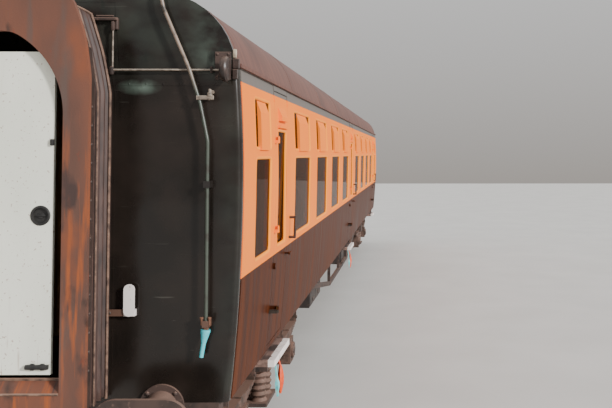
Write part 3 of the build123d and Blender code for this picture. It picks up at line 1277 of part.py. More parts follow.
# Bogies
with BuildPart() as bogie_frame:
    with BuildSketch(Plane.YZ.offset(BOGIE_SIDE_X - BOGIE_SIDE_THICKNESS / 2)):
        for half in (-1, 1):
            with BuildLine():
                Polyline([(-BOGIE_Y + half * y, z) for y, z in SIDE_OUTLINE], close=True)
            make_face()
    extrude(amount=BOGIE_SIDE_THICKNESS)
    mirror(about=Plane.YZ)
    reach = BOGIE_SIDE_X - BOGIE_SIDE_THICKNESS / 2
    for half in (-1, 1):
        for start, width, bottom in (
            (BOGIE_CROSS_HALF_GAP, TRANSOM_WIDTH, TRANSOM_BOTTOM_Z),
            (BOGIE_HALF_LENGTH - HORN_WIDTH, HORN_WIDTH, BOGIE_HEADSTOCK_BOTTOM_Z),
        ):
            ys = sorted((half * start, half * (start + width)))
            box_between((-reach, -BOGIE_Y + ys[0], bottom), (reach, -BOGIE_Y + ys[1], BOGIE_TOP_Z))
        inner_y = -BOGIE_Y + half * (WHEELBASE / 2 - BRAKE_HANGER_Y)
        box_between(
            (-reach, inner_y - BRAKE_CARRIER_HEIGHT / 2, BOGIE_HEADSTOCK_BOTTOM_Z),
            (reach, inner_y + BRAKE_CARRIER_HEIGHT / 2, BOGIE_HEADSTOCK_BOTTOM_Z + BRAKE_CARRIER_HEIGHT),
        )
        for side in (-1, 1):
            for end in (-1, 1):
                bracket_y = -BOGIE_Y + half * WHEELBASE / 2 + end * (SPRING_LENGTH - HANGER_WIDTH) / 2
                xs = sorted((side * BOGIE_SIDE_X, side * (SPRING_X + SPRING_WIDTH / 2)))
                box_between(
                    (xs[0], bracket_y - HANGER_WIDTH / 2, HANGER_TOP_Z),
                    (xs[1], bracket_y + HANGER_WIDTH / 2, HANGER_TOP_Z + SPRING_BRACKET_HEIGHT),
                )
save(bogie_frame.part, "bogie_frame_near")
save(half_turn(bogie_frame.part), "bogie_frame_far")

with BuildPart() as bogie_bolster:
    with BuildSketch(Plane.XZ.offset(BOGIE_Y)):
        with BuildLine():
            Polyline(
                (0, BOLSTER_MIDDLE_BOTTOM_Z),
                (BOLSTER_FLAT * PLANK_HALF_LENGTH, BOLSTER_MIDDLE_BOTTOM_Z),
                (BOLSTER_RISE * PLANK_HALF_LENGTH, BOLSTER_END_BOTTOM_Z),
                (PLANK_HALF_LENGTH, BOLSTER_END_BOTTOM_Z),
                (PLANK_HALF_LENGTH, BOLSTER_END_TOP_Z),
                (BOLSTER_TOP_SLOPE * PLANK_HALF_LENGTH, BOLSTER_END_TOP_Z),
                (BOLSTER_SEAT * CENTRE_PLATE_RADIUS, CENTRE_PLATE_Z - SEAT_GAP),
                (0, CENTRE_PLATE_Z - SEAT_GAP),
                close=True,
            )
        make_face()
        mirror(about=Plane.YZ)
    extrude(amount=BOLSTER_HALF_WIDTH, both=True)
    with Locations((0, -BOGIE_Y, CENTRE_PLATE_Z)):
        Cylinder(
            CENTRE_PIN_RADIUS + SEAT_GAP,
            CENTRE_PIN_LENGTH + SEAT_GAP,
            align=(Align.CENTER, Align.CENTER, Align.MAX),
            mode=Mode.SUBTRACT,
        )
    box_between(
        (-PLANK_HALF_LENGTH, -BOGIE_Y - PLANK_HALF_WIDTH, PLANK_Z),
        (PLANK_HALF_LENGTH, -BOGIE_Y + PLANK_HALF_WIDTH, PLANK_Z + PLANK_THICKNESS),
    )
    for side in (-1, 1):
        for half in (-1, 1):
            link_x = side * LINK_X
            ys = sorted((half * PLANK_HALF_WIDTH, half * BOGIE_CROSS_HALF_GAP))
            box_between(
                (link_x - HANGER_WIDTH / 2, -BOGIE_Y + ys[0], PLANK_Z),
                (link_x + HANGER_WIDTH / 2, -BOGIE_Y + ys[1], TRANSOM_BOTTOM_Z + TRANSOM_WIDTH),
            )
save(bogie_bolster.part, "bogie_bolster_near")
save(half_turn(bogie_bolster.part), "bogie_bolster_far")

with BuildPart() as coil_spring:
    coil_bottom = PLANK_Z + PLANK_THICKNESS
    coil_step = (BOLSTER_END_BOTTOM_Z - coil_bottom) / (2 * COIL_TURNS)
    with BuildSketch(Plane.XZ):
        with BuildLine():
            Polyline(
                (0, coil_bottom),
                *[
                    (COIL_RADIUS - (COIL_GROOVE if point % 2 else 0), coil_bottom + point * coil_step)
                    for point in range(2 * COIL_TURNS + 1)
                ],
                (0, BOLSTER_END_BOTTOM_Z),
                close=True,
            )
        make_face()
    revolve(axis=Axis.Z)

with BuildPart() as bogie_springs:
    buckle_bottom = AXLE_Z + AXLEBOX_HEIGHT / 2
    spring_rise = (SPRING_LENGTH - SPRING_SHORTEST) / (SPRING_LEAVES - 1)
    spring_top = buckle_bottom + SPRING_LEAVES * SPRING_LEAF_THICKNESS
    hanger_spread = (SPRING_LENGTH - HANGER_WIDTH) / 2
    for half in (-1, 1):
        axle_y = -BOGIE_Y + half * WHEELBASE / 2
        with BuildSketch(Plane.YZ.offset(SPRING_X - SPRING_WIDTH / 2)):
            for leaf_number in range(SPRING_LEAVES):
                with Locations((axle_y, buckle_bottom + (leaf_number + 0.5) * SPRING_LEAF_THICKNESS)):
                    Rectangle(SPRING_SHORTEST + leaf_number * spring_rise, SPRING_LEAF_THICKNESS)
            for end in (-1, 1):
                with Locations((axle_y + end * hanger_spread, (spring_top + HANGER_TOP_Z) / 2)):
                    Rectangle(HANGER_WIDTH, HANGER_TOP_Z - spring_top)
        extrude(amount=SPRING_WIDTH)
        with Locations((AXLEBOX_X, axle_y, AXLE_Z)):
            Box(AXLEBOX_DEPTH, HORN_GAP - 2 * HORN_CLEARANCE, AXLEBOX_HEIGHT)
        box_between(
            (SPRING_X - SPRING_WIDTH / 2, axle_y - BUCKLE_WIDTH / 2, buckle_bottom),
            (SPRING_X + SPRING_WIDTH / 2, axle_y + BUCKLE_WIDTH / 2, spring_top + SPRING_LEAF_THICKNESS),
        )
        with Locations(Location((AXLEBOX_X + AXLEBOX_DEPTH / 2, axle_y, AXLE_Z), (0, 90, 0))):
            Cylinder(AXLEBOX_COVER_RADIUS, 2 * AXLEBOX_COVER_LENGTH)
        with Locations(Location((0, axle_y, AXLE_Z), (0, 90, 0))):
            Cylinder(JOURNAL_RADIUS + SEAT_GAP, 2 * (JOURNAL_END_X + SEAT_GAP), mode=Mode.SUBTRACT)
    with Locations(*[(COIL_X, -BOGIE_Y + half * COIL_HALF_SPREAD, 0) for half in (-1, 1)]):
        add(coil_spring.part)
    mirror(about=Plane.YZ)
save(bogie_springs.part, "bogie_springs_near")
save(half_turn(bogie_springs.part), "bogie_springs_far")

with BuildPart() as bogie_brakes:
    for half in (-1, 1):
        axle_y = -BOGIE_Y + half * WHEELBASE / 2
        for facing in (-1, 1):
            block_angle = 0 if facing > 0 else 180
            with BuildSketch(Plane.YZ.offset(BRAKE_BLOCK_X - BRAKE_BLOCK_WIDTH / 2)):
                with BuildLine():
                    inner = CenterArc(
                        (axle_y, AXLE_Z),
                        WHEEL_RADIUS + RUNNING_GAP,
                        block_angle - BRAKE_BLOCK_ANGLE,
                        2 * BRAKE_BLOCK_ANGLE,
                    )
                    outer = CenterArc(
                        (axle_y, AXLE_Z),
                        WHEEL_RADIUS + RUNNING_GAP + BRAKE_BLOCK_DEPTH,
                        block_angle - BRAKE_BLOCK_ANGLE,
                        2 * BRAKE_BLOCK_ANGLE,
                    )
                    Line(inner @ 0, outer @ 0)
                    Line(inner @ 1, outer @ 1)
                make_face()
            extrude(amount=BRAKE_BLOCK_WIDTH)
            hanger_y = axle_y + facing * (BRAKE_HANGER_Y + BRAKE_HANGER_WIDTH / 4)
            half_hanger = BRAKE_HANGER_WIDTH / 2
            box_between(
                (BRAKE_BLOCK_X - half_hanger, hanger_y - half_hanger, AXLE_Z),
                (BRAKE_BLOCK_X + half_hanger, hanger_y + half_hanger, BOGIE_HEADSTOCK_BOTTOM_Z),
            )
            beam_y = axle_y + facing * (WHEEL_RADIUS + RUNNING_GAP + BRAKE_BLOCK_DEPTH)
            box_between(
                (0, beam_y - BRAKE_BEAM / 3, AXLE_Z - BRAKE_BEAM / 2),
                (BRAKE_BLOCK_X + BRAKE_BLOCK_WIDTH / 2, beam_y + BRAKE_BEAM / 3, AXLE_Z + BRAKE_BEAM / 2),
            )
    mirror(about=Plane.YZ)
save(bogie_brakes.part, "bogie_brakes_near")
save(half_turn(bogie_brakes.part), "bogie_brakes_far")
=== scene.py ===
# %% [markdown]
# # A railway passenger coach
# The coach stands along Y, with the end that the photograph shows at -Y and its right side at +X. The CAD
# model already has every solid at its real place. This lesson gives each of them its finish, and adds what
# is too fine or too soft for solids: window rims, rivets, folded bellows, cushions, pipes and bolts.

import math

import bmesh
import bpy
import numpy as np
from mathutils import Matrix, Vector


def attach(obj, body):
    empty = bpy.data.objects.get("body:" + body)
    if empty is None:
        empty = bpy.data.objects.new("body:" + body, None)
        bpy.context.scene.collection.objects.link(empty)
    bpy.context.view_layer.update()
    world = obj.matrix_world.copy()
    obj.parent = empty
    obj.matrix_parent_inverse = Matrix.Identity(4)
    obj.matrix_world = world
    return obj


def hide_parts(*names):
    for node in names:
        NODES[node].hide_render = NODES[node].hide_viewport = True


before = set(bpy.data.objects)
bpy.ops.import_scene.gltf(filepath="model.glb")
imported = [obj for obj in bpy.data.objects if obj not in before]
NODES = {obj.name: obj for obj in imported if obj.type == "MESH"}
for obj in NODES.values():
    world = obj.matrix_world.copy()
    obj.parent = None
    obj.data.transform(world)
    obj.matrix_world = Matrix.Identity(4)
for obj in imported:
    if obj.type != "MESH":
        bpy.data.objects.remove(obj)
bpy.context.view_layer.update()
BODY = "coach_body"

# %% [markdown]
# ## The camera
# The long lines of the side meet at one point of the photograph, and the upright lines stay upright. That
# gives the direction of view, and the known height of the end panel gives the distance. A view that is
# shifted in its frame keeps the uprights parallel, as in the photograph.

# %% Place the camera
CAMERA_PLACE = (2.533, -15.26, 2.7625)
CAMERA_LENS = 47.29
CAMERA_YAW = math.radians(0.6)
CAMERA_PITCH = math.radians(2.0)
CAMERA_SHIFT = (-0.1886, -0.1276)

camera_data = bpy.data.cameras.new("camera")
camera_data.lens = CAMERA_LENS
camera_data.sensor_width = 36.0
camera_data.shift_x, camera_data.shift_y = CAMERA_SHIFT
camera_data.clip_end = 200.0
camera = bpy.data.objects.new("camera", camera_data)
camera.location = CAMERA_PLACE
camera.rotation_euler = (math.pi / 2 + CAMERA_PITCH, 0.0, -CAMERA_YAW)
bpy.context.scene.collection.objects.link(camera)
bpy.context.scene.camera = camera

# %% [markdown]
# ## Light
# A hazy low sun from the right of the camera lights the side and throws soft shadows to the left across the
# end. The rest is a pale sky, a little darker towards the horizon, so that the gloss paint has something to
# show.

# %% Add the sun, the sky and the floor
SUN_DIRECTION = Vector((0.80, -0.52, 0.36))
SUN_STRENGTH = 4.6
SUN_ANGLE = math.radians(7.0)
SKY_STRENGTH, SKY_COLOURS = 1.05, ("#A49E98", "#F2F4F6")  # horizon and above
FLOOR_HALF_SIZE = 60.0

sun_data = bpy.data.lights.new("sun", "SUN")
sun_data.energy = SUN_STRENGTH
sun_data.angle = SUN_ANGLE
sun = bpy.data.objects.new("sun", sun_data)
sun.rotation_euler = SUN_DIRECTION.to_track_quat("Z", "Y").to_euler()
bpy.context.scene.collection.objects.link(sun)


def hex_colour(code):
    """Linear RGBA of an sRGB hex code: each channel is divided by 12.92, or raised to 2.4 above the toe."""
    channels = np.array([int(code[i : i + 2], 16) / 255 for i in (1, 3, 5)])
    linear = np.where(channels <= 0.04045, channels / 12.92, ((channels + 0.055) / 1.055) ** 2.4)
    return (*linear.tolist(), 1.0)


def add_node(tree, kind, inputs=(), **settings):
    """Add a shader node, set its own settings, and fill its inputs: a socket is linked, a value is set."""
    node = tree.nodes.new("ShaderNode" + kind)
    for name, value in settings.items():
        setattr(node, name, value)
    for key, value in dict(inputs).items():
        if isinstance(value, bpy.types.NodeSocket):
            tree.links.new(value, node.inputs[key])
        else:
            node.inputs[key].default_value = value
    return node


world = bpy.data.worlds.new("sky")
world.use_nodes = True
bpy.context.scene.world = world
sky_tree = world.node_tree
sky_tree.nodes.clear()
sky_way = add_node(sky_tree, "SeparateXYZ", {0: add_node(sky_tree, "TexCoord").outputs["Generated"]})
sky_height = add_node(sky_tree, "MapRange", {0: sky_way.outputs[2], 1: -0.05, 2: 0.45, 3: 0.0, 4: 1.0})
sky_mix = {0: sky_height.outputs[0], 6: hex_colour(SKY_COLOURS[0]), 7: hex_colour(SKY_COLOURS[1])}
sky_colour = add_node(sky_tree, "Mix", sky_mix, data_type="RGBA").outputs[2]
background = add_node(sky_tree, "Background", {"Color": sky_colour, "Strength": SKY_STRENGTH})
add_node(sky_tree, "OutputWorld", {"Surface": background.outputs[0]})

# %% [markdown]
# ## Surfaces from arrays
# Every new piece is a grid of points worked out with numpy, where each point joins the next along both of
# the grid's ways. Rows that shrink to one point close the ends, and merging the doubles afterwards turns
# them into clean caps.

# %% Turn grids of points into meshes
MERGE_DISTANCE = 1e-5


def grid(points, wrap_u=False, wrap_v=False):
    """Vertices and quads of points[u, v]: each face joins a point to the next along u and along v."""
    rows, columns = points.shape[:2]
    index = np.arange(rows * columns).reshape(rows, columns)
    if wrap_u:
        index = np.vstack([index, index[:1]])
    if wrap_v:
        index = np.hstack([index, index[:, :1]])
    faces = np.stack([index[:-1, :-1], index[1:, :-1], index[1:, 1:], index[:-1, 1:]], axis=-1)
    return points.reshape(-1, 3), faces.reshape(-1, 4)


def joined(parts):
    """Several (vertices, faces) as one: the faces of each count on from the vertices before it."""
    starts = np.cumsum([0] + [len(vertices) for vertices, _ in parts])
    vertices = np.concatenate([vertices for vertices, _ in parts])
    faces = np.concatenate([faces + start for (_, faces), start in zip(parts, starts)])
    return vertices, faces


def repeated(part, offsets):
    """One part at many places: every offset is added to every vertex."""
    vertices, faces = part
    offsets = np.asarray(offsets, float)
    moved = (vertices[None] + offsets[:, None]).reshape(-1, 3)
    counted = (faces[None] + (np.arange(len(offsets)) * len(vertices))[:, None, None]).reshape(-1, 4)
    return moved, counted


def half_turned(part, sign):
    """The part as it is for sign 1, and after half a turn about Z for sign -1."""
    vertices, faces = part
    return vertices * (sign, sign, 1), faces


def both_ways(part):
    """The part and its copy after half a turn about Z."""
    return joined([part, half_turned(part, -1)])


def both_sides(part):
    """The part and its mirror image across the middle plane of the coach: x changes sign."""
    vertices, faces = part
    return joined([part, (vertices * (-1, 1, 1), faces[:, ::-1])])


def at_depth(line, y):
    """Points of a line (x, z) at one place along the coach."""
    return np.column_stack([line[:, 0], np.full(len(line), y), line[:, 1]])


def capped(rings):
    """Closed bar through the sections rings[i], each end drawn in to the middle of its section."""
    ends = [np.repeat(rings[i].mean(axis=0)[None, None], rings.shape[1], axis=1) for i in (0, -1)]
    return grid(np.concatenate([ends[0], rings, ends[1]]), wrap_v=True)


def swept(edges):
    """Closed bar between lines of points: its section at each step joins that step's point of every line."""
    return capped(np.stack(edges, axis=1))


def piece(name, part, finish, body=BODY, sharp=35.0):
    """Make an object of the part, with doubles merged and faces outwards, and let it ride on a body."""
    vertices, faces = part
    mesh = bpy.data.meshes.new(name)
    mesh.from_pydata(vertices.tolist(), [], faces.tolist())
    shape = bmesh.new()
    shape.from_mesh(mesh)
    bmesh.ops.remove_doubles(shape, verts=shape.verts, dist=MERGE_DISTANCE)
    bmesh.ops.recalc_face_normals(shape, faces=shape.faces)
    shape.to_mesh(mesh)
    shape.free()
    mesh.shade_smooth()
    mesh.set_sharp_from_angle(angle=math.radians(sharp))
    mesh.materials.append(finish)
    made = bpy.data.objects.new(name, mesh)
    bpy.context.scene.collection.objects.link(made)
    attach(made, body)
    print(name, "faces", len(mesh.polygons))
    return made


def fitting(name, parts, finish):
    """One object on the coach's body, of several parts and their copies after half a turn."""
    return piece(name, both_ways(joined(parts)), finish)


# %% [markdown]
# Four more forms are enough for nearly all the hardware: a round bar along a path, a box with eased edges,
# a turned form, and the head of a rivet or bolt.

# %% Round bars, eased boxes, turned forms and rivet heads


def bar(path, radius, sides=12, across=(0.0, 0.0, 1.0)):
    """Closed round bar: each ring is centre + radius·(cos a·side + sin a·up), square to the path."""
    path = np.asarray(path, float)
    run = np.gradient(path, axis=0)
    run /= np.linalg.norm(run, axis=1, keepdims=True)
    side = np.cross(run, across)
    side /= np.linalg.norm(side, axis=1, keepdims=True)
    up = np.cross(side, run)
    angle = np.linspace(0, 2 * np.pi, sides, endpoint=False)[None, :, None]
    ring = np.cos(angle) * side[:, None] + np.sin(angle) * up[:, None]
    radii = np.broadcast_to(radius, len(path))[:, None, None]
    points = path[:, None] + radii * ring
    first, last = (np.repeat(path[i, None, None], sides, axis=1) for i in (0, -1))
    return grid(np.concatenate([first, points, last]), wrap_v=True)


def block(middle, size, radius=0.003, steps=1):
    """Box with eased edges: the corner of a smaller box, plus radius times a direction of the sphere."""
    quarter = np.linspace(0, np.pi / 2, steps + 1)
    turn = np.concatenate([quarter + k * np.pi / 2 for k in range(4)])
    tilt = np.concatenate([quarter - np.pi / 2, quarter])
    turn, tilt = np.meshgrid(turn, tilt)
    direction = np.stack([np.cos(tilt) * np.cos(turn), np.cos(tilt) * np.sin(turn), np.sin(tilt)], axis=-1)
    corner = np.stack(
        np.broadcast_arrays(
            np.repeat([1, -1, -1, 1], steps + 1)[None, :],
            np.repeat([1, 1, -1, -1], steps + 1)[None, :],
            np.repeat([-1, 1], steps + 1)[:, None],
        ),
        axis=-1,
    )
    half = np.asarray(size, float) / 2
    radius = min(radius, half.min())
    points = (half - radius) * corner + radius * direction
    poles = [np.broadcast_to((0.0, 0.0, z), (1, points.shape[1], 3)) for z in (-half[2], half[2])]
    points = np.concatenate([poles[0], points, poles[1]]) + np.asarray(middle, float)
    return grid(points, wrap_v=True)


def span(low, high, radius=0.003):
    """Eased box between two corners."""
    low, high = np.asarray(low, float), np.asarray(high, float)
    return block((low + high) / 2, high - low, radius)


AXES = {
    # for each way out, the two ways round it
    "x": ((1, 0, 0), (0, 1, 0), (0, 0, 1)),
    "y": ((0, 1, 0), (0, 0, 1), (1, 0, 0)),
    "z": ((0, 0, 1), (1, 0, 0), (0, 1, 0)),
}


def turned(middle, profile, way="z", sides=24):
    """Turned form: each (distance, radius) of the profile is swept round the way it points."""
    profile = np.asarray(profile, float)
    out, first, second = (np.array(axis, float) for axis in AXES[way])
    angle = np.linspace(0, 2 * np.pi, sides, endpoint=False)
    ring = np.cos(angle)[:, None] * first + np.sin(angle)[:, None] * second
    points = profile[:, 0, None, None] * out + profile[:, 1, None, None] * ring[None]
    return grid(points + np.asarray(middle, float), wrap_v=True)


def heads(centres, way, radius=0.010, height=0.006, sides=8):
    """Rivet or bolt heads: a small dome at each centre, its height falling with the cosine of its angle."""
    angle = np.linspace(0, np.pi / 2, 4)
    profile = np.column_stack([height * np.cos(angle), radius * np.sin(angle)])
    profile = np.vstack([profile, [(0.0, 0.0)]])
    return repeated(turned((0, 0, 0), profile, way, sides), centres)


def stud(radius, length):
    """Profile of a plain round stud, for turning."""
    return [(0.0, 0.0), (0.0, radius), (length, radius), (length, 0.0)]


# %% [markdown]
# ## The body's section
# The side is two arcs that meet upright at the waist. The roof leaves the gutter at a lean, turns over a
# small shoulder arc and closes with a flat crown arc. Everything that lies on the skin is worked out from
# these lines.

# %% Sizes of the body, and its skin as a function of height
HALF_WIDTH, WAIST_Z = 1.380, 2.578
LOWER_RADIUS, UPPER_RADIUS = 14.07, 9.30
SIDE_BOTTOM, GUTTER_Z, ROOF_TOP = 1.108, 3.361, 3.945
ROOF_RADIUS, SHOULDER_RADIUS, ROOF_LEAN = 4.20, 0.54, math.radians(18.0)
END_Y, PLATE_Y = 9.83, 10.30
END_FACE, PLATE_FACE = -END_Y, -PLATE_Y
FIRST_BACK, SEAT_PITCH = 0.505, 1.7875
WINDOW_YS = np.array(
    [side * (FIRST_BACK + SEAT_PITCH * (bay + 0.5)) for side in (-1, 1) for bay in range(4)]
)
LAVATORY_YS = np.array([-8.995, 8.995])
DOOR_YS = {"near": -8.115, "centre": 0.0, "far": 8.115}
PANE = (1.975, 2.735, 0.050)  # foot, top and corner radius
TOP_LIGHT = (2.804, 3.185, 0.035)
DROPLIGHT = (1.975, 2.968, 0.035)
WINDOW_WIDTH, LAVATORY_WIDTH, DROPLIGHT_WIDTH = 1.17, 0.64, 0.45
BOGIE_Y, HALF_BASE, AXLE_Z = 7.085, 1.295, 0.485
SIDES = (("right", 1), ("left", -1))
ENDS = (("near", 1), ("far", -1))


def skin_x(z):
    """Half width at height z: half width − radius + √(radius² − rise²), the radius changing at the waist."""
    z = np.asarray(z, float)
    radius = np.where(z < WAIST_Z, LOWER_RADIUS, UPPER_RADIUS)
    return HALF_WIDTH - radius + np.sqrt(radius**2 - (z - WAIST_Z) ** 2)


def roof_line(proud=0.0, count=24):
    """Points (x, z) from the right gutter over the crown to the left one, standing proud of the roof."""
    gutter = np.array([float(skin_x(GUTTER_Z)), GUTTER_Z])
    along = np.array([-math.sin(ROOF_LEAN), math.cos(ROOF_LEAN)])
    crown = np.array([0.0, ROOF_TOP - ROOF_RADIUS])
    foot = gutter + SHOULDER_RADIUS * np.array([-math.cos(ROOF_LEAN), -math.sin(ROOF_LEAN)])
    offset = foot - crown
    half_b = offset @ along
    run = -half_b + math.sqrt(half_b**2 - offset @ offset + (ROOF_RADIUS - SHOULDER_RADIUS) ** 2)
    shoulder = foot + along * run
    turn_end = math.atan2(*(shoulder - crown)[::-1])
    turn = np.linspace(ROOF_LEAN, turn_end, count // 3)
    arc = shoulder + (SHOULDER_RADIUS + proud) * np.column_stack([np.cos(turn), np.sin(turn)])
    sweep = np.linspace(turn_end, np.pi / 2, count)[1:]
    top = crown + (ROOF_RADIUS + proud) * np.column_stack([np.cos(sweep), np.sin(sweep)])
    lean = gutter + proud * np.array([math.cos(ROOF_LEAN), math.sin(ROOF_LEAN)])
    half = np.vstack([lean, arc, top])
    return np.vstack([half, half[-2::-1] * (-1, 1)])


def skin_plate(y_low, y_high, z_low, z_high, proud, sunk=0.002, rows=6):
    """Plate that follows the side: at each height its section runs from skin − sunk to skin + proud."""
    z = np.linspace(z_low, z_high, rows)
    inner, outer = skin_x(z) - sunk, skin_x(z) + proud
    low, high = np.full(rows, y_low), np.full(rows, y_high)
    corners = ((inner, low), (outer, low), (outer, high), (inner, high))
    return swept([np.column_stack([x, y, z]) for x, y in corners])


def rim(y, z_low, z_high, width, corner, section, steps=4):
    """Bar round a window: along a rounded rectangle, each (outward, depth) of the section is set off it."""
    quarter = np.linspace(0, np.pi / 2, steps)
    angle = np.concatenate([quarter + k * np.pi / 2 for k in range(4)])
    signs = np.repeat([(1, 1), (-1, 1), (-1, -1), (1, -1)], steps, axis=0)
    way = np.column_stack([np.cos(angle), np.sin(angle)])
    half = np.array([width / 2, (z_high - z_low) / 2]) - corner
    line = signs * half + corner * way + (y, (z_low + z_high) / 2)
    section = np.asarray(section, float)
    flat = line[:, None] + section[None, :, 0, None] * way[:, None]
    x = skin_x(flat[..., 1]) - section[None, :, 1]
    return grid(np.concatenate([x[..., None], flat], axis=-1), wrap_u=True, wrap_v=True)


print("roof points", len(roof_line()))

# %% [markdown]
# ## How a finish is made
# Each finish is a tree of nodes round one Principled shader. The same few nodes come back in all of them:
# a noise, a ramp between two values, a mix of two colours, a sum and a bump. They get short names here.

# %% Name the nodes that recur


class Finish:
    """A material in the making, with the place of each point in the coach's own coordinates."""

    def __init__(self, name):
        self.material = bpy.data.materials.new(name)
        self.material.use_nodes = True
        self.tree = self.material.node_tree
        self.tree.nodes.clear()
        self.shader = self.node("BsdfPrincipled")
        self.node("OutputMaterial", {"Surface": self.shader.outputs[0]})
        self.coordinates = self.node("TexCoord").outputs
        self.place = self.coordinates["Object"]
        self.x, self.y, self.z = self.node("SeparateXYZ", {0: self.place}).outputs

    def node(self, kind, inputs=(), **settings):
        """Add a node to this material's tree."""
        return add_node(self.tree, kind, inputs, **settings)

    def normal(self):
        """The normal's three parts."""
        return self.node("SeparateXYZ", {0: self.coordinates["Normal"]}).outputs

    def calc(self, operation, *values):
        """Result of one operation on sockets or numbers."""
        return self.node("Math", enumerate(values), operation=operation).outputs[0]

    def times(self, first, second):
        """Product of two shares."""
        return self.calc("MULTIPLY", first, second)

    def size(self, value):
        """A value without its sign."""
        return self.calc("ABSOLUTE", value)

    def vector(self, operation, *values):
        """Node of one operation on vectors."""
        return self.node("VectorMath", enumerate(values), operation=operation)

    def ramp(self, value, low, high, at_low=0.0, at_high=1.0):
        """The value carried from low and high to at_low and at_high, and held beyond them."""
        return self.node("MapRange", {0: value, 1: low, 2: high, 3: at_low, 4: at_high}).outputs[0]

    def mix(self, share, under, over):
        """Colour between two, each a socket or a hex code, by the share of the second."""
        under, over = (hex_colour(code) if isinstance(code, str) else code for code in (under, over))
        return self.node("Mix", {0: share, 6: under, 7: over}, data_type="RGBA").outputs[2]

    def noise(self, scale, detail, stretch=(1.0, 1.0, 1.0)):
        """Noise over the coach, finer along an axis where its stretch is larger."""
        way = self.node("Mapping", {0: self.place, "Scale": stretch}).outputs[0]
        return self.node("TexNoise", {"Vector": way, "Scale": scale, "Detail": detail}).outputs[0]

    def patches(self, scale, low, high, stretch=(1.0, 1.0, 1.0), detail=5.0):
        """Share from 0 to 1 of a stretched noise between two of its values."""
        return self.ramp(self.noise(scale, detail, stretch), low, high)

    def bumps(self, height, strength, distance):
        """Normal that leans with the slope of a height."""
        return self.node("Bump", {"Strength": strength, "Distance": distance, "Height": height}).outputs[0]

    def done(self, colour, rough, **values):
        """The material, with the shader's sockets filled; an underscore in a name stands for a space."""
        for key, value in {"Base_Color": colour, "Roughness": rough, **values}.items():
            socket = self.shader.inputs[key.replace("_", " ")]
            if isinstance(value, bpy.types.NodeSocket):
                self.tree.links.new(value, socket)
            else:
                socket.default_value = value
        return self.material


# %% [markdown]
# ## Coach enamel
# The sides are brushed alkyd enamel over steel sheet: chocolate below, orange above, and a grey-brown band
# under the gutter. The colour changes at fixed heights, so one material reads the height of each point. The
# sheet is never flat, and long upright ripples draw the reflections into streaks. Faces that look inwards
# are the veneered lining of the saloon, found by comparing the normal with the side they are on.

# %% Make the enamel of the sides
LOWER_PAINT_TOP, UPPER_PAINT_TOP = 1.915, 3.258
ORANGES = ("#F97B1E", "#FA882C")
VENEERS, VENEER_GRAIN = ("#8A6238", "#C29A66"), (30.0, 30.0, 2.0)


def coach_enamel(name, lower, upper, band, gloss):
    """Two-colour gloss enamel with a band at the top, and the lining's veneer on inward faces."""
    coat = Finish(name)
    streak = coat.noise(1.0, 4.0, (3.0, 7.5, 0.5))
    low = coat.mix(coat.ramp(streak, 0.42, 0.72), *lower)
    high = coat.mix(coat.noise(1.3, 5.0), *upper)
    above = coat.calc("GREATER_THAN", coat.z, LOWER_PAINT_TOP)
    paint = coat.mix(coat.calc("GREATER_THAN", coat.z, UPPER_PAINT_TOP), coat.mix(above, low, high), band)
    inside = coat.calc("LESS_THAN", coat.times(coat.normal()[0], coat.x), -0.4)
    veneer = coat.mix(coat.noise(1.0, 6.0, VENEER_GRAIN), *VENEERS)
    rough_low = coat.ramp(streak, 0.3, 0.7, gloss[0], gloss[0] + 0.14)
    rough = coat.node("Mix", {0: above, 2: rough_low, 3: gloss[1]}, data_type="FLOAT").outputs[0]
    dents = coat.bumps(coat.noise(1.6, 2.0, (1.0, 4.5, 0.35)), 0.35, 0.010)
    return coat.done(coat.mix(inside, paint, veneer), rough, Normal=dents, IOR=1.5, Specular_IOR_Level=0.02)


SIDE_ENAMEL = coach_enamel("brushed_coach_enamel", ("#3A1B0E", "#5A301B"), ORANGES, "#6E6863", (0.32, 0.46))
HINGE_ENAMEL = coach_enamel("painted_hinges", ("#3A332E", "#5C544E"), ORANGES, "#6E6863", (0.32, 0.46))
# The rims take a copy of the coach enamel that is lighter in all three colours: that lift is a painted
# highlight on their lips and reveals.
RIM_ENAMEL_PAINTED_HIGHLIGHT = coach_enamel(
    "rim_enamel_painted_highlight", ("#52301E", "#744830"), ("#FF8E1E", "#FF9E38"), "#7A726A", (0.30, 0.40)
)

# %% [markdown]
# ## End enamel, roof paint and rusted steel
# The end is black gloss enamel with a grey-green painted sky reflection towards its top, and scratches near
# its foot. The roof is a matt grey-brown paint, streaked down its slope by rain. The gangway's face plate
# is bare rolled steel, rubbed in service: orange rust, brown scale and dark greasy patches.

# %% Make the black end enamel
SMEAR_MIDDLE, SMEAR_SHAPE = (0.69, -9.83, 3.215), (1.0, 0.0, 2.6)


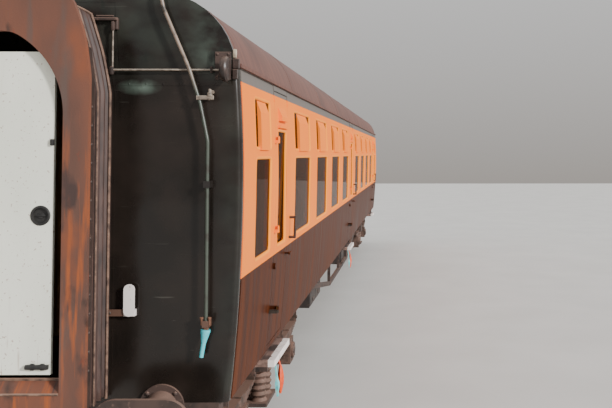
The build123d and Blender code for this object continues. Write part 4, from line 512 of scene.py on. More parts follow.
def end_enamel():
    """Black gloss enamel: a grey-green painted sky reflection high up outside the pipe, brown below, scuffs
    near the foot.
    """
    coat = Finish("black_gloss_enamel")
    outside, height = coat.size(coat.x), coat.ramp(coat.z, 3.24, 3.40)
    high = coat.times(coat.ramp(outside, 0.95, 1.15, 0.25, 1.0), height)
    # This share places the grey-green painted reflection of the sky: high up outside the pipe, and faintly
    # along the side edges.
    weathered = coat.calc("MAXIMUM", high, coat.ramp(outside, 1.20, 1.30, 0.0, 0.14))
    green = coat.times(weathered, coat.patches(3.4, 0.36, 0.62, (1.0, 1.0, 1.6)))
    brown = coat.patches(2.2, 0.42, 0.75)
    colour = coat.mix(green, coat.mix(brown, "#1A1613", "#29211C"), "#464F47")
    streaks = coat.times(coat.patches(1.0, 0.62, 0.72, (9.0, 9.0, 3.0), 4.0), height)
    colour = coat.mix(streaks, colour, "#1C1F1B")
    low = coat.ramp(coat.z, 1.9, 1.2, 0.05, 0.6)
    scuffs = coat.times(coat.patches(1.0, 0.71, 0.74, (3.0, 3.0, 45.0), 3.0), low)
    colour = coat.mix(scuffs, colour, "#8C8A80")
    off_middle = coat.vector("SUBTRACT", coat.place, SMEAR_MIDDLE).outputs[0]
    flattened = coat.vector("MULTIPLY", off_middle, SMEAR_SHAPE).outputs[0]
    near_it = coat.ramp(coat.vector("LENGTH", flattened).outputs["Value"], 0.16, 0.03, 0.0, 0.75)
    colour = coat.mix(coat.times(near_it, coat.patches(7.0, 0.35, 0.6)), colour, "#66756A")
    dents = coat.bumps(coat.noise(2.4, 1.0), 0.5, 0.02)
    rough = coat.ramp(brown, 0.0, 1.0, 0.16, 0.30)
    return coat.done(colour, rough, Normal=dents, IOR=1.5, Specular_IOR_Level=0.38)


END_ENAMEL = end_enamel()

# %% Make the roof paint and the rusted plate


def roof_paint():
    """Matt roof paint: streaks run down the slope, so the noise is stretched across the coach."""
    coat = Finish("weathered_roof_paint")
    colour = coat.mix(coat.patches(1.0, 0.35, 0.7, (1.2, 16.0, 1.2)), "#583830", "#70493C")
    colour = coat.mix(coat.patches(1.4, 0.5, 0.8), colour, "#4C332B")
    return coat.done(colour, 0.62, Normal=coat.bumps(coat.noise(160.0, 2.0), 0.15, 0.002))


def rusted_plate():
    """Bare steel, rusted and rubbed: brown scale and grey wear, with orange rust on the outer legs."""
    coat = Finish("rusted_rubbing_plate")
    colour = coat.mix(coat.patches(2.2, 0.38, 0.62, (1.6, 1.0, 0.5)), "#6C4231", "#593C31")
    colour = coat.mix(coat.patches(3.1, 0.54, 0.70, (3.0, 1.0, 0.45)), colour, "#57443C")
    outer = coat.ramp(coat.size(coat.x), 0.34, 0.47, 0.25, 1.0)
    there = coat.times(outer, coat.ramp(coat.z, 3.60, 3.40))
    rust = coat.times(there, coat.patches(2.6, 0.46, 0.66, (1.0, 1.0, 0.6)))
    colour = coat.mix(rust, colour, "#8C4722")
    leg = coat.ramp(coat.z, 3.10, 2.60, 0.0, 0.9)
    runs = coat.times(coat.patches(1.0, 0.50, 0.66, (26.0, 1.0, 2.2), 6.0), leg)
    colour = coat.mix(runs, colour, "#9A4E22")
    dark = coat.times(coat.patches(1.0, 0.56, 0.68, (9.0, 1.0, 3.4)), leg)
    colour = coat.mix(dark, colour, "#3A2A26")
    colour = coat.mix(coat.patches(4.1, 0.66, 0.76, (2.0, 1.0, 1.0)), colour, "#7E2F14")
    grease = coat.patches(2.6, 0.62, 0.72, (2.4, 1.0, 1.1))
    colour = coat.mix(grease, colour, "#2E231E")
    rough = coat.ramp(grease, 0.0, 1.0, 0.66, 0.42)
    return coat.done(colour, rough, Normal=coat.bumps(coat.noise(90.0, 4.0), 0.3, 0.002))


ROOF_PAINT = roof_paint()
RUSTED_PLATE = rusted_plate()

# %% [markdown]
# ## Grime, oil and bare metal under the floor
# Everything below the floor was painted once and is now covered in brake dust: a dark coat with pale brown
# dust on whatever faces up. One function makes each of these from three colours, and the wheels show bright
# steel where they roll.

# %% Make the grimy finishes


def grimy(name, base, dust, dark, rough=0.72, mottle=7.0):
    """Painted metal under brake dust: patches of two tones, and dust in specks and on faces that look up."""
    coat = Finish(name)
    colour = coat.mix(coat.patches(mottle, 0.40, 0.64), base, dark)
    colour = coat.mix(coat.ramp(coat.normal()[2], 0.2, 0.9, 0.0, 0.8), colour, dust)
    colour = coat.mix(coat.times(coat.patches(34.0, 0.60, 0.72, detail=2.0), 0.45), colour, dust)
    return coat.done(colour, rough, Normal=coat.bumps(coat.noise(120.0, 3.0), 0.35, 0.003))


FRAME_GRIME = grimy("underframe_paint_in_brake_dust", "#46352E", "#7C6154", "#2B211D")
SPRING_GRIME = grimy("spring_steel_in_brake_dust", "#5C443A", "#8A6B5C", "#38291F", mottle=11.0)
BRAKE_IRON = grimy("rusty_cast_iron", "#6B4632", "#8C6650", "#3D2A20", 0.8)
BOX_PAINT = grimy("underfloor_box_paint", "#3A302B", "#6E5A4E", "#241D1A", 0.6, 3.0)
CYLINDER_PAINT = grimy("cylinder_paint", "#33302C", "#65574C", "#201C1A", 0.5, 3.0)
HARDWARE = grimy("blackened_door_hardware", "#3B2C26", "#6A554A", "#241B18", 0.42, 20.0)
COLLAR_PAINT = grimy("collar_paint", "#3C2B24", "#5E473C", "#2A1E19", 0.6, 4.0)
WORN_EDGE = grimy("worn_canvas_edge", "#7E6150", "#9A7A68", "#4A372E", 0.6, 16.0)
ROD_PAINT = grimy("worn_rod_paint", "#8E8072", "#C2B4A4", "#5E5248", 0.45, 30.0)

# %% Make the pipe's paint and the wheels' steel
DARK_CLAMP_Z, DARK_CLAMP_HALF, RUSTY_CLAMP_TOP = 2.560, 0.0225, 1.6625
TREAD_START, TREAD_END = 0.449, 0.453


def pipe_paint():
    """Painted pipe: grey-green where it is upright, a beige painted highlight where it leans in, dark at its
    clamps.
    """
    coat = Finish("painted_pipe")
    # From 3.16 m up, the grey-green turns to beige: a painted highlight, not a colour of the paint.
    colour = coat.mix(coat.ramp(coat.z, 3.16, 3.36), "#40463D", "#857466")
    colour = coat.mix(coat.patches(9.0, 0.52, 0.66), colour, "#332E28")
    off_clamp = coat.size(coat.calc("SUBTRACT", coat.z, DARK_CLAMP_Z))
    colour = coat.mix(coat.calc("LESS_THAN", off_clamp, DARK_CLAMP_HALF), colour, "#201B18")
    colour = coat.mix(coat.calc("LESS_THAN", coat.z, RUSTY_CLAMP_TOP), colour, "#5A4034")
    return coat.done(colour, 0.36)


def wheel_steel():
    """Rolled steel wheel: grimy by its distance from the axle, and polished on the tread and flange."""
    coat = Finish("rolled_wheel_steel")
    from_bogie = coat.calc("SUBTRACT", coat.size(coat.y), BOGIE_Y)
    from_axle = coat.calc("SUBTRACT", coat.size(from_bogie), HALF_BASE)
    rise = coat.calc("SUBTRACT", coat.z, AXLE_Z)
    flat = coat.node("CombineXYZ", {0: from_axle, 1: rise, 2: 0.0}).outputs[0]
    bright = coat.ramp(coat.vector("LENGTH", flat).outputs["Value"], TREAD_START, TREAD_END)
    colour = coat.mix(bright, coat.mix(coat.patches(8.0, 0.4, 0.65), "#4A3A33", "#2E2420"), "#A59C94")
    return coat.done(colour, coat.ramp(bright, 0.0, 1.0, 0.75, 0.28), Metallic=bright)


PIPE_PAINT = pipe_paint()
WHEEL_STEEL = wheel_steel()

# %% [markdown]
# ## Timber, cloth, glass and plastic
# The step boards are worn timber with whitened edges. The gangway door is off-white enamel that rusts from
# its lower edge. Window glass lets nearly all light through but is slightly brown.

# %% Make the white enamels, the timber, and the plainer finishes
WHITE_EDGE_X = 1.33


def white_enamel(name, clean, shade, low_z, high_z, rust, brown_within=0.0):
    """Off-white enamel: grey shading, rust specks and runs that fade upwards, and brown near the middle."""
    coat = Finish(name)
    colour = coat.mix(coat.patches(1.6, 0.35, 0.7, (1.0, 1.0, 0.5)), clean, shade)
    near_foot = coat.ramp(coat.z, high_z, low_z, 0.08, 1.0)
    colour = coat.mix(coat.times(coat.patches(1.0, 0.60, 0.76, (34.0, 8.0, 3.0)), near_foot), colour, rust)
    colour = coat.mix(coat.times(coat.patches(48.0, 0.66, 0.70, detail=2.0), 0.5), colour, rust)
    colour = coat.mix(coat.calc("LESS_THAN", coat.size(coat.x), brown_within), colour, "#5E463B")
    return coat.done(colour, 0.34, Normal=coat.bumps(coat.noise(3.0, 1.0), 0.3, 0.01), IOR=1.5)


def step_timber():
    """Step board: weathered brown timber with dark wear in its middle, and a whitewashed outer edge."""
    coat = Finish("whitened_step_timber")
    top = coat.mix(coat.patches(1.0, 0.3, 0.7, (60.0, 3.0, 60.0)), "#6B5148", "#9A7B6E")
    top = coat.mix(coat.patches(3.0, 0.48, 0.56), top, "#40302A")
    white = coat.mix(coat.patches(14.0, 0.55, 0.75), "#EADFD8", "#B59C8E")
    edge = coat.calc("GREATER_THAN", coat.size(coat.x), WHITE_EDGE_X)
    return coat.done(coat.mix(edge, top, white), 0.7)


def plain_finish(name, first, second, rough, scale=6.0, stretch=(1.0, 1.0, 1.0), metallic=0.0, relief=0.0):
    """Finish of one material: two close tones in patches, with relief where it has any."""
    coat = Finish(name)
    share = coat.patches(scale, 0.35, 0.65, stretch)
    raised = {"Normal": coat.bumps(share, 0.4, relief)} if relief else {}
    return coat.done(coat.mix(share, first, second), rough, Metallic=metallic, **raised)


DOOR_WHITE = white_enamel("off_white_door_enamel", "#F3F2E4", "#DEDFCF", 1.40, 1.75, "#8E5B3C")
IRON_WHITE = white_enamel("white_lamp_iron_enamel", "#ECE3DD", "#D9CFC8", 1.60, 1.70, "#7B5A4C", 0.612)
STEP_TIMBER = step_timber()
NOZZLE_BLUE = plain_finish("moulded_turquoise_plastic", "#3FB4BE", "#5CC4CC", 0.35, 30.0)
STRAP_BLUE = plain_finish("turquoise_painted_strap", "#58BFC4", "#8ADAD6", 0.45, 22.0)
HANGER_ORANGE = plain_finish("orange_painted_casting", "#D43C00", "#E85208", 0.45, 26.0)
BELLOWS_CLOTH = plain_finish(
    "proofed_bellows_canvas", "#2B1C17", "#4A332B", 0.62, 9.0, (1.0, 4.0, 0.6), relief=0.002
)
LINING = plain_finish("varnished_partition_veneer", *VENEERS, 0.35, 1.0, VENEER_GRAIN)
FLOOR_LINO = plain_finish("brown_floor_linoleum", "#5B4638", "#6E5848", 0.55, 18.0)
LAMINATE = plain_finish("table_laminate", "#C9B79A", "#D8C8AE", 0.28, 60.0)
ALUMINIUM = plain_finish("anodised_aluminium_strip", "#B8B4AC", "#D2CEC6", 0.30, 30.0, (1.0, 0.2, 1.0), 1.0)
CREAM_PAINT = plain_finish("weathered_cream_paint", "#8E7F6C", "#B3A48E", 0.50, 30.0)
BLACK_RUBBER = plain_finish("black_rubber", "#1B1A19", "#2A2826", 0.60, 40.0)

# %% Make the glass and the seat cloth


def window_glass():
    """Toughened float glass, faintly brown: a little of the light is absorbed, and dust dulls it slightly."""
    coat = Finish("brown_tinted_float_glass")
    rough = coat.ramp(coat.patches(5.0, 0.35, 0.8), 0.0, 1.0, 0.01, 0.06)
    return coat.done(hex_colour("#94664A"), rough, IOR=1.03, Transmission_Weight=0.93)


def moquette():
    """Woven seat pile: a small check of two reds and a fine nap. Real threads are 1 mm, drawn here at 12."""
    coat = Finish("woven_seat_moquette")
    weave = coat.node("TexVoronoi", {"Vector": coat.place, "Scale": 42.0}).outputs["Distance"]
    colour = coat.mix(coat.ramp(weave, 0.2, 0.6), "#7C2F2A", "#4A2226")
    nap = coat.bumps(coat.noise(220.0, 2.0), 0.5, 0.002)
    return coat.done(colour, 0.9, Normal=nap, Sheen_Weight=0.4)


GLASS = window_glass()
MOQUETTE = moquette()

# %% [markdown]
# ## Finishes on the solids
# A solid whose shape is right stays as it is and only takes its finish. Each row of the table has a finish
# and the starts of the names of its solids; where two starts fit a name, the longer one counts.

# %% Give the solids their finishes
FINISHES = (
    (SIDE_ENAMEL, "side_panels door_left door_right bottom_rails cantrails window_cowls"),
    (HINGE_ENAMEL, "door_hinges"),
    (ROOF_PAINT, "roof roof_vents gutters"),
    (END_ENAMEL, "end_near end_far"),
    (GLASS, "window_glass door_glass"),
    (PIPE_PAINT, "alarm_gear filler_pipes"),
    (NOZZLE_BLUE, "filler_nozzles"),
    (IRON_WHITE, "lamp_irons"),
    (RUSTED_PLATE, "gangway_plate"),
    (BELLOWS_CLOTH, "gangway_bellows"),
    (COLLAR_PAINT, "gangway_collars"),
    (DOOR_WHITE, "gangway_door"),
    (FLOOR_LINO, "floor"),
    (LINING, "partitions"),
    (MOQUETTE, "seats"),
    (LAMINATE, "tables"),
    (FRAME_GRIME, "underframe trusses buffers bogie_frame bogie_bolster"),
    (BOX_PAINT, "underfloor_boxes"),
    (CYLINDER_PAINT, "underfloor_cylinders"),
    (STEP_TIMBER, "step_boards"),
    (HARDWARE, "grab_handles"),
    (BRAKE_IRON, "couplers bogie_brakes"),
    (SPRING_GRIME, "bogie_springs"),
    (WHEEL_STEEL, "wheelset"),
)
for node_name, node in NODES.items():
    fits = [
        (len(start), finish)
        for finish, starts in FINISHES
        for start in starts.split()
        if node_name.startswith(start)
    ]
    node.data.materials.clear()
    node.data.materials.append(max(fits, key=lambda fit: fit[0])[1])
print("finished nodes", len(NODES))

# %% [markdown]
# ## Window rims
# Each pane sits behind a narrow painted rim with a lip that catches the light. The rim is one closed bar
# carried round a rounded rectangle, and it follows the curve of the side because its depth is measured from
# the skin at its own height.

# %% Rim the windows
RIM_SECTION = (
    # outwards from the pane's edge, and depth below the skin
    (-0.014, 0.017),
    (-0.014, 0.009),
    (-0.011, 0.0035),
    (-0.002, -0.0025),
    (0.008, -0.0025),
    (0.009, 0.001),
    (0.0, 0.017),
)

window_rims = [
    rim(y, *light[:2], width, light[2], RIM_SECTION)
    for ys, width in ((WINDOW_YS, WINDOW_WIDTH), (LAVATORY_YS, LAVATORY_WIDTH))
    for light in (PANE, TOP_LIGHT)
    for y in ys
]
fitting("window_rims", window_rims, RIM_ENAMEL_PAINTED_HIGHLIGHT)

# %% [markdown]
# The door windows slide down into the doors, so their rims ride on the doors.

# %% Rim the door windows
for side_name, sign in SIDES:
    for place_name, door_y in DOOR_YS.items():
        door_rim = rim(door_y * sign, *DROPLIGHT[:2], DROPLIGHT_WIDTH, DROPLIGHT[2], RIM_SECTION)
        piece(
            f"droplight_rim_{side_name}_{place_name}",
            half_turned(door_rim, sign),
            RIM_ENAMEL_PAINTED_HIGHLIGHT,
            f"door_{side_name}_{place_name}",
        )

# %% [markdown]
# ## Joints in the side
# Over each doorway a cover plate is let into the band below the gutter, and a slim beading closes the skin
# to the end panels. They stand only a few millimetres proud, but their edges catch the light.

# %% Cover the door heads and the panel joints
HEAD_COVER_HALF, COVER_EDGE, BEAD_HALF, BEAD_Y = 0.345, 0.010, 0.010, 9.745
head_covers = []
for door_y in DOOR_YS.values():
    start, end = door_y - HEAD_COVER_HALF, door_y + HEAD_COVER_HALF
    head_covers.append(skin_plate(start, end, 3.301, 3.346, 0.004))
    for low, high in ((start - COVER_EDGE, start), (end, end + COVER_EDGE)):
        head_covers.append(skin_plate(low, high, 3.200, 3.350, 0.006))
fitting("door_head_covers", head_covers, SIDE_ENAMEL)

corner_beads = [
    skin_plate(y - BEAD_HALF, y + BEAD_HALF, SIDE_BOTTOM + 0.004, 3.356, 0.004, rows=16)
    for y in (-BEAD_Y, BEAD_Y)
]
fitting("corner_beads", corner_beads, SIDE_ENAMEL)

# %% [markdown]
# ## The roof
# The photograph shows a fuller shoulder than the solids have, so the roof is made again here as one sheet on
# the better line, and a facing of black sheet carries each end up to it. Flat straps cover its laps.

# %% Lay the roof, its straps and the end facings
STRAP_WIDTH, STRAP_PROUD, STRAP_SUNK = 0.045, 0.002, 0.003
STRAP_YS = np.linspace(-END_Y + 0.13, END_Y - 0.13, 9)
ROOF_SHEET, FACING_FOOT, PASSAGE_HALF, PASSAGE_TOP = 0.035, 3.300, 0.52, 3.790
FACING_PROUD, FACING_SUNK = 0.003, 0.030


def over_roof(y, width, proud, sunk):
    """Band over the roof: at each point of the roof line its section is sunk, proud, proud, sunk."""
    low, high = roof_line(-sunk), roof_line(proud)
    corners = ((low, -width / 2), (high, -width / 2), (high, width / 2), (low, width / 2))
    return swept([at_depth(line, y + shift) for line, shift in corners])


def end_facing():
    """Black sheet on the near end, from the roof line down to a foot that clears the gangway's passage."""
    line = roof_line(0.001)
    foot_z = np.where(np.abs(line[:, 0]) < PASSAGE_HALF, PASSAGE_TOP, FACING_FOOT)
    foot = np.column_stack([line[:, 0], foot_z])
    front, back = END_FACE - FACING_PROUD, END_FACE + FACING_SUNK
    corners = ((line, front), (foot, front), (foot, back), (line, back))
    return swept([at_depth(edge, y) for edge, y in corners])


roof_sheet = piece("roof_sheet", over_roof(0.0, 2 * END_Y, 0.0, ROOF_SHEET), ROOF_PAINT)
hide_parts("roof")
straps = joined([over_roof(y, STRAP_WIDTH, STRAP_PROUD, STRAP_SUNK) for y in STRAP_YS])
piece("roof_straps", straps, ROOF_PAINT)
fitting("end_facings", [end_facing()], END_ENAMEL)

# %% [markdown]
# ## Gangway bellows
# Between the face plate and the collar, proofed canvas is folded over wire frames like an accordion. Here
# it is one surface: round the gangway's arched outline in one way, and along the coach in the other, where
# the outline grows and shrinks as a cosine with each fold.

# %% Fold the bellows
SHOULDER_Z, ARCH_START, ARCH_TOP = 3.170, 3.700, 3.805
BELLOWS_TOP_HALF_WIDTH, BELLOWS_FOOT = 0.370, 1.154
LEAN_ZS, LEAN_XS = (3.170, 3.270, 3.451, 3.646, 3.700), (0.503, 0.486, 0.448, 0.388, 0.370)
FOLDS, FOLD_DEPTH, CLOTH = 5, 0.040, 0.008
BELLOWS_FRONT, BELLOWS_BACK = PLATE_FACE + 0.036, END_FACE - 0.035


def arched_outline(margin, legs=34, lean=10, arch=24):
    """Closed outline drawn in by margin[k]: legs that lean in above their shoulder, a foot and an arc."""
    margin = np.asarray(margin, float)[:, None]
    half = BELLOWS_TOP_HALF_WIDTH - margin
    foot, top = BELLOWS_FOOT + margin, ARCH_TOP - margin
    sagitta = top - ARCH_START
    radius = (half**2 + sagitta**2) / (2 * sagitta)
    reach = np.arcsin(half / radius)
    swing = reach * np.linspace(1, -1, arch)[None]
    arc_x, arc_z = radius * np.sin(swing), top - radius + radius * np.cos(swing)
    upright = foot + (SHOULDER_Z - foot) * np.linspace(0, 1, legs)[None]
    leaning = np.broadcast_to(np.linspace(SHOULDER_Z, ARCH_START, lean)[None, 1:], (len(margin), lean - 1))
    leg_z = np.concatenate([upright, leaning], axis=1)
    leg_x = np.interp(leg_z, LEAN_ZS, LEAN_XS) - margin
    right = np.stack([leg_x, leg_z], axis=-1)
    left = right[:, ::-1] * (-1, 1)
    return np.concatenate([right, np.stack([arc_x, arc_z], axis=-1), left], axis=1)


def folded(front, back, folds, depth, base=0.0):
    """Bellows: the outline's margin is base + depth·(1 − cos 2π·folds·t)/2 at share t of the way back."""
    share = np.linspace(0, 1, folds * 8 + 1)
    margin = base + depth * (1 - np.cos(2 * np.pi * folds * share)) / 2
    outline = arched_outline(margin)
    y = np.broadcast_to((front + (back - front) * share)[:, None, None], outline.shape[:2] + (1,))
    return np.concatenate([outline[..., :1], y, outline[..., 1:]], axis=-1)


outer = folded(BELLOWS_FRONT, BELLOWS_BACK, FOLDS, FOLD_DEPTH)
inner = folded(BELLOWS_FRONT, BELLOWS_BACK, FOLDS, FOLD_DEPTH, CLOTH)
shell = grid(np.concatenate([outer, inner[::-1]]), wrap_u=True, wrap_v=True)
for place_name, sign in ENDS:
    name = f"folded_bellows_{place_name}"
    bellows = piece(name, half_turned(shell, sign), BELLOWS_CLOTH, sharp=80.0)
    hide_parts(f"gangway_bellows_{place_name}")

# %% [markdown]
# ## The rubbing plate
# The photograph shows the plate's legs leaning in above head height and a tall pointed opening, which the
# flat solid lacks, so it is made again here with the same thickness, sill and hinge lugs.

# %% Cut the face plate
PLATE_THICK, PLATE_HALF, PLATE_FOOT = 0.035, 0.540, 1.128
PLATE_LEG_TOP, OPENING_LEG_TOP, OPENING_FOOT, OPENING_HALF = 3.190, 3.005, 1.268, 0.380
PLATE_CURVE = (
    (0.540, 3.190),
    (0.541, 3.235),
    (0.533, 3.306),
    (0.513, 3.448),
    (0.492, 3.540),
    (0.466, 3.615),
    (0.442, 3.690),
    (0.415, 3.738),
    (0.350, 3.784),
    (0.200, 3.814),
    (0.000, 3.822),
)
SIDE_ARC, TOP_ARC, ARC_MEETING = 0.570, 0.200, math.radians(59.1)
HINGE_X, HINGE_AXIS_Y, HINGE_ZS = -0.340, PLATE_FACE + 0.061, (1.640, 2.390, 3.140)
HINGE_HALF, SLEEVE_RADIUS, PIN_RADIUS = 0.045, 0.016, 0.009


def opening_curve():
    """Right half of the pointed opening: a large arc from its leg, closed by a small arc at the top."""
    side, top = np.linspace(0, ARC_MEETING, 40), np.linspace(ARC_MEETING, np.pi / 2, 20)[1:]
    leg_arc = np.column_stack([-0.190 + SIDE_ARC * np.cos(side), OPENING_LEG_TOP + SIDE_ARC * np.sin(side)])
    top_arc = np.column_stack([TOP_ARC * np.cos(top), OPENING_LEG_TOP + 0.3175 + TOP_ARC * np.sin(top)])
    return np.vstack([leg_arc, top_arc])


def closed_outline(half, foot_z, leg_top, curve, on_foot=8, on_leg=40, on_curve=30):
    """Closed outline from the middle of its foot: foot, leg and curve, and then their mirror image."""
    curve = np.asarray(curve, float)
    run = np.concatenate([[0.0], np.cumsum(np.linalg.norm(np.diff(curve, axis=0), axis=1))])
    stops = np.linspace(0, run[-1], on_curve)
    bend = np.column_stack([np.interp(stops, run, curve[:, 0]), np.interp(stops, run, curve[:, 1])])
    foot = np.column_stack([np.linspace(0, half, on_foot), np.full(on_foot, foot_z)])
    leg = np.column_stack([np.full(on_leg, half), np.linspace(foot_z, leg_top, on_leg)])
    right = np.vstack([foot, leg[1:-1], bend])
    return np.vstack([right, right[-2:0:-1] * (-1, 1)])


plate_outline = closed_outline(PLATE_HALF, PLATE_FOOT, PLATE_LEG_TOP, PLATE_CURVE)
opening_outline = closed_outline(OPENING_HALF, OPENING_FOOT, OPENING_LEG_TOP, opening_curve())
front, back = PLATE_FACE, PLATE_FACE + PLATE_THICK
plate_lines = [
    at_depth(outline, y)
    for outline, ys in ((plate_outline, (front, back)), (opening_outline, (back, front)))
    for y in ys
]
plate_ring = grid(np.stack(plate_lines), wrap_u=True, wrap_v=True)
sill_section = ((front, OPENING_FOOT), (front, 1.306), (front + 0.066, 1.368), (front + 0.066, OPENING_FOOT))
sill = capped(np.array([[(x, y, z) for y, z in sill_section] for x in (-OPENING_HALF, OPENING_HALF)]))
plate_parts = [plate_ring, sill]
for hinge_z in HINGE_ZS:
    hinge_foot = hinge_z - HINGE_HALF
    plate_parts += [
        span((-0.390, back, hinge_foot), (HINGE_X, HINGE_AXIS_Y + SLEEVE_RADIUS, hinge_z - 0.0005)),
        turned((HINGE_X, HINGE_AXIS_Y, hinge_foot), stud(SLEEVE_RADIUS, 0.0445), "z", 20),
        turned((HINGE_X, HINGE_AXIS_Y, hinge_foot), stud(PIN_RADIUS, 0.090), "z", 20),
    ]
face = joined(plate_parts)
for place_name, sign in ENDS:
    face_plate = piece(
        f"rubbing_plate_{place_name}", half_turned(face, sign), RUSTED_PLATE
    )
    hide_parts(f"gangway_plate_{place_name}")

# %% [markdown]
# A riveted flange runs up behind the plate's edge, pale worn frames hold the canvas, and a ring closes the
# last fold against the end.

# %% Add the flange, the frames and the rivets
RIVET_PITCH, TOP_RIVET_Z, RIVET_COUNT = 0.1165, 3.054, 15
RING_FRONT, RING_BACK = -9.870, -9.831
FLANGE_STEPS, FLANGE_DEPTH, FLANGE_THICK = 40, 0.075, 0.012

frames = [
    bar(at_depth(arched_outline([margin])[0], y), radius, 8, (0, 1, 0))
    for y, margin, radius in ((-9.872, -0.004, 0.009), (-10.060, 0.004, 0.006))
]
fitting("bellows_frames", frames, WORN_EDGE)

ring_edges = ((-0.003, RING_FRONT), (-0.003, RING_BACK), (0.050, RING_BACK), (0.050, RING_FRONT))
collar_ring = np.stack([at_depth(arched_outline([margin])[0], y) for margin, y in ring_edges])
fitting("collar_rings", [grid(collar_ring, wrap_u=True, wrap_v=True)], COLLAR_PAINT)

flange_z = np.linspace(1.150, 3.432, FLANGE_STEPS)
plate_xs, plate_zs = zip(*PLATE_CURVE)
flange_x = np.interp(flange_z, plate_zs, plate_xs, left=PLATE_HALF) - 0.010
flange_start, flange_end = back - 0.002, back + FLANGE_DEPTH
flange = swept(
    [
        np.column_stack([flange_x + shift, np.full(FLANGE_STEPS, y), flange_z])
        for shift, y in (
            (0.0, flange_start),
            (0.0, flange_end),
            (-FLANGE_THICK, flange_end),
            (-FLANGE_THICK, flange_start),
        )
    ]
)
rivet_zs = TOP_RIVET_Z - RIVET_PITCH * np.arange(RIVET_COUNT)
flange_rivets = heads([(0.530, back + 0.040, z) for z in rivet_zs], "x", 0.011, 0.007)
flanges = both_sides(joined([flange, flange_rivets]))
fitting("plate_flanges", [flanges], COLLAR_PAINT)

# %% [markdown]
# ## Gangway door furniture
# The off-white door has a recessed round lock, a small keeper at its edge and a bolt near its foot. All of
# it rides on the door.

# %% Fit the gangway door
DOOR_FACE = PLATE_FACE + 0.047
LOCK_X, LOCK_Z = 0.232, 2.382
BOLT_Y, BOLT_Z = DOOR_FACE - 0.012, 1.457


def gangway_furniture():
    """Lock ring and cup with its turn button, keeper and barrel bolt, as parts of one piece."""
    lock = (LOCK_X, DOOR_FACE, LOCK_Z)
    ring = [(0.0, 0.046), (-0.006, 0.048), (-0.007, 0.056), (-0.003, 0.062), (0.0, 0.062), (0.0, 0.046)]
    boss = [(-0.008, 0.0), (-0.008, 0.018), (0.0, 0.022), (0.0, 0.0)]
    cup = [(0.011, 0.0), (0.011, 0.0515), (0.0135, 0.0515), (0.0135, 0.0)]
    return joined(
        [
            turned(lock, ring, "y", 40),
            block((LOCK_X, DOOR_FACE + 0.006, LOCK_Z), (0.060, 0.014, 0.012), 0.005, 2),
            turned((LOCK_X, DOOR_FACE + 0.013, LOCK_Z), boss, "y"),
            turned(lock, cup, "y", 40),
            block((0.300, DOOR_FACE - 0.006, 2.835), (0.024, 0.022, 0.040), 0.006, 2),
            bar([(0.160, BOLT_Y, BOLT_Z), (0.298, BOLT_Y, BOLT_Z)], 0.015, 16),
            *[block((x, DOOR_FACE - 0.008, BOLT_Z), (0.026, 0.018, 0.040), 0.004) for x in (0.200, 0.262)],
        ]
    )


for place_name, sign in ENDS:
    piece(
        f"gangway_door_furniture_{place_name}",
        half_turned(gangway_furniture(), sign),
        BLACK_RUBBER,
        body=f"gangway_door_{place_name}",
    )

# %% [markdown]
# The threshold in the plate's opening slopes. It has a worn nosing in front and a tread strip behind.

# %% Nose the threshold
nosing = bar([(-0.378, PLATE_FACE + 0.002, 1.300), (0.378, PLATE_FACE + 0.002, 1.300)], 0.008, 12)
tread = span((-0.376, PLATE_FACE + 0.062, 1.366), (0.376, PLATE_FACE + 0.074, 1.384))
fitting("threshold_nosings", [nosing, tread], WORN_EDGE)

# %% [markdown]
# ## Pipe saddles and lamp irons
# The filler pipe is held off the end by a saddle with two bolts near its foot and by a bracket with a knob
# where it leans in. The lamp irons get their bolts here too.

# %% Bolt up the end fittings
PIPE_X, PIPE_Y = 1.165, END_FACE - 0.062
SADDLE_Z, UPPER_SADDLE_Z, UPPER_PIPE_X = 1.640, 3.137, 1.102
SUNK_Y = END_FACE + 0.002

stem = [(0.0, 0.0), (0.0, 0.007), (0.040, 0.007), (0.040, 0.012), (0.052, 0.012), (0.052, 0.0)]
nut = turned((PIPE_X, PIPE_Y, SADDLE_Z - 0.048), stud(0.019, 0.022), sides=6)
stems = [turned((PIPE_X + x, PIPE_Y - 0.010, SADDLE_Z - 0.006), stem, sides=8) for x in (-0.026, 0.026)]
fitting("pipe_saddles", [nut, *stems], BRAKE_IRON)

knob = [(0.0, 0.0), (0.0, 0.017), (0.022, 0.017), (0.024, 0.010), (0.044, 0.010), (0.048, 0.0)]
strap_low = (UPPER_PIPE_X - 0.012, PIPE_Y - 0.019, UPPER_SADDLE_Z - 0.014)
upper_saddle = [
    span(strap_low, (1.208, PIPE_Y - 0.012, UPPER_SADDLE_Z + 0.014)),
    span((1.150, PIPE_Y - 0.014, UPPER_SADDLE_Z - 0.013), (1.165, SUNK_Y, UPPER_SADDLE_Z + 0.013)),
    turned((1.180, PIPE_Y - 0.012, UPPER_SADDLE_Z + 0.012), knob, sides=16),
    span((1.168, PIPE_Y - 0.008, UPPER_SADDLE_Z + 0.030), (1.192, SUNK_Y, UPPER_SADDLE_Z + 0.052)),
]
fitting("upper_saddles", upper_saddle, ROD_PAINT)

lamp_bolts = [(x, END_FACE - 0.034, 1.708) for x in (-0.665, -0.635, 0.520, 0.650)]
fitting("lamp_iron_bolts", [heads(lamp_bolts, "y", 0.012, -0.008, 6)], HARDWARE)

# %% [markdown]
# ## Alarm gear
# It stands a little higher in the photograph than in the solids, and its post stands under a bracket that
# comes out of the gangway's shoulder, so its rods, post, bracket and drum are made here.

# %% Rig the alarm gear
ROD_Y, ROD_Z, POST_X, DRUM_X = END_FACE - 0.032, 3.327, 0.517, 1.284
DRUM_Y, DRUM_SIDES = END_FACE - 0.092, 48
DRUM_PROFILE = (
    (-0.030, 0.0),
    (-0.030, 0.050),
    (-0.024, 0.074),
    (-0.008, 0.085),
    (0.012, 0.085),
    (0.024, 0.076),
    (0.029, 0.055),
    (0.029, 0.0),
)

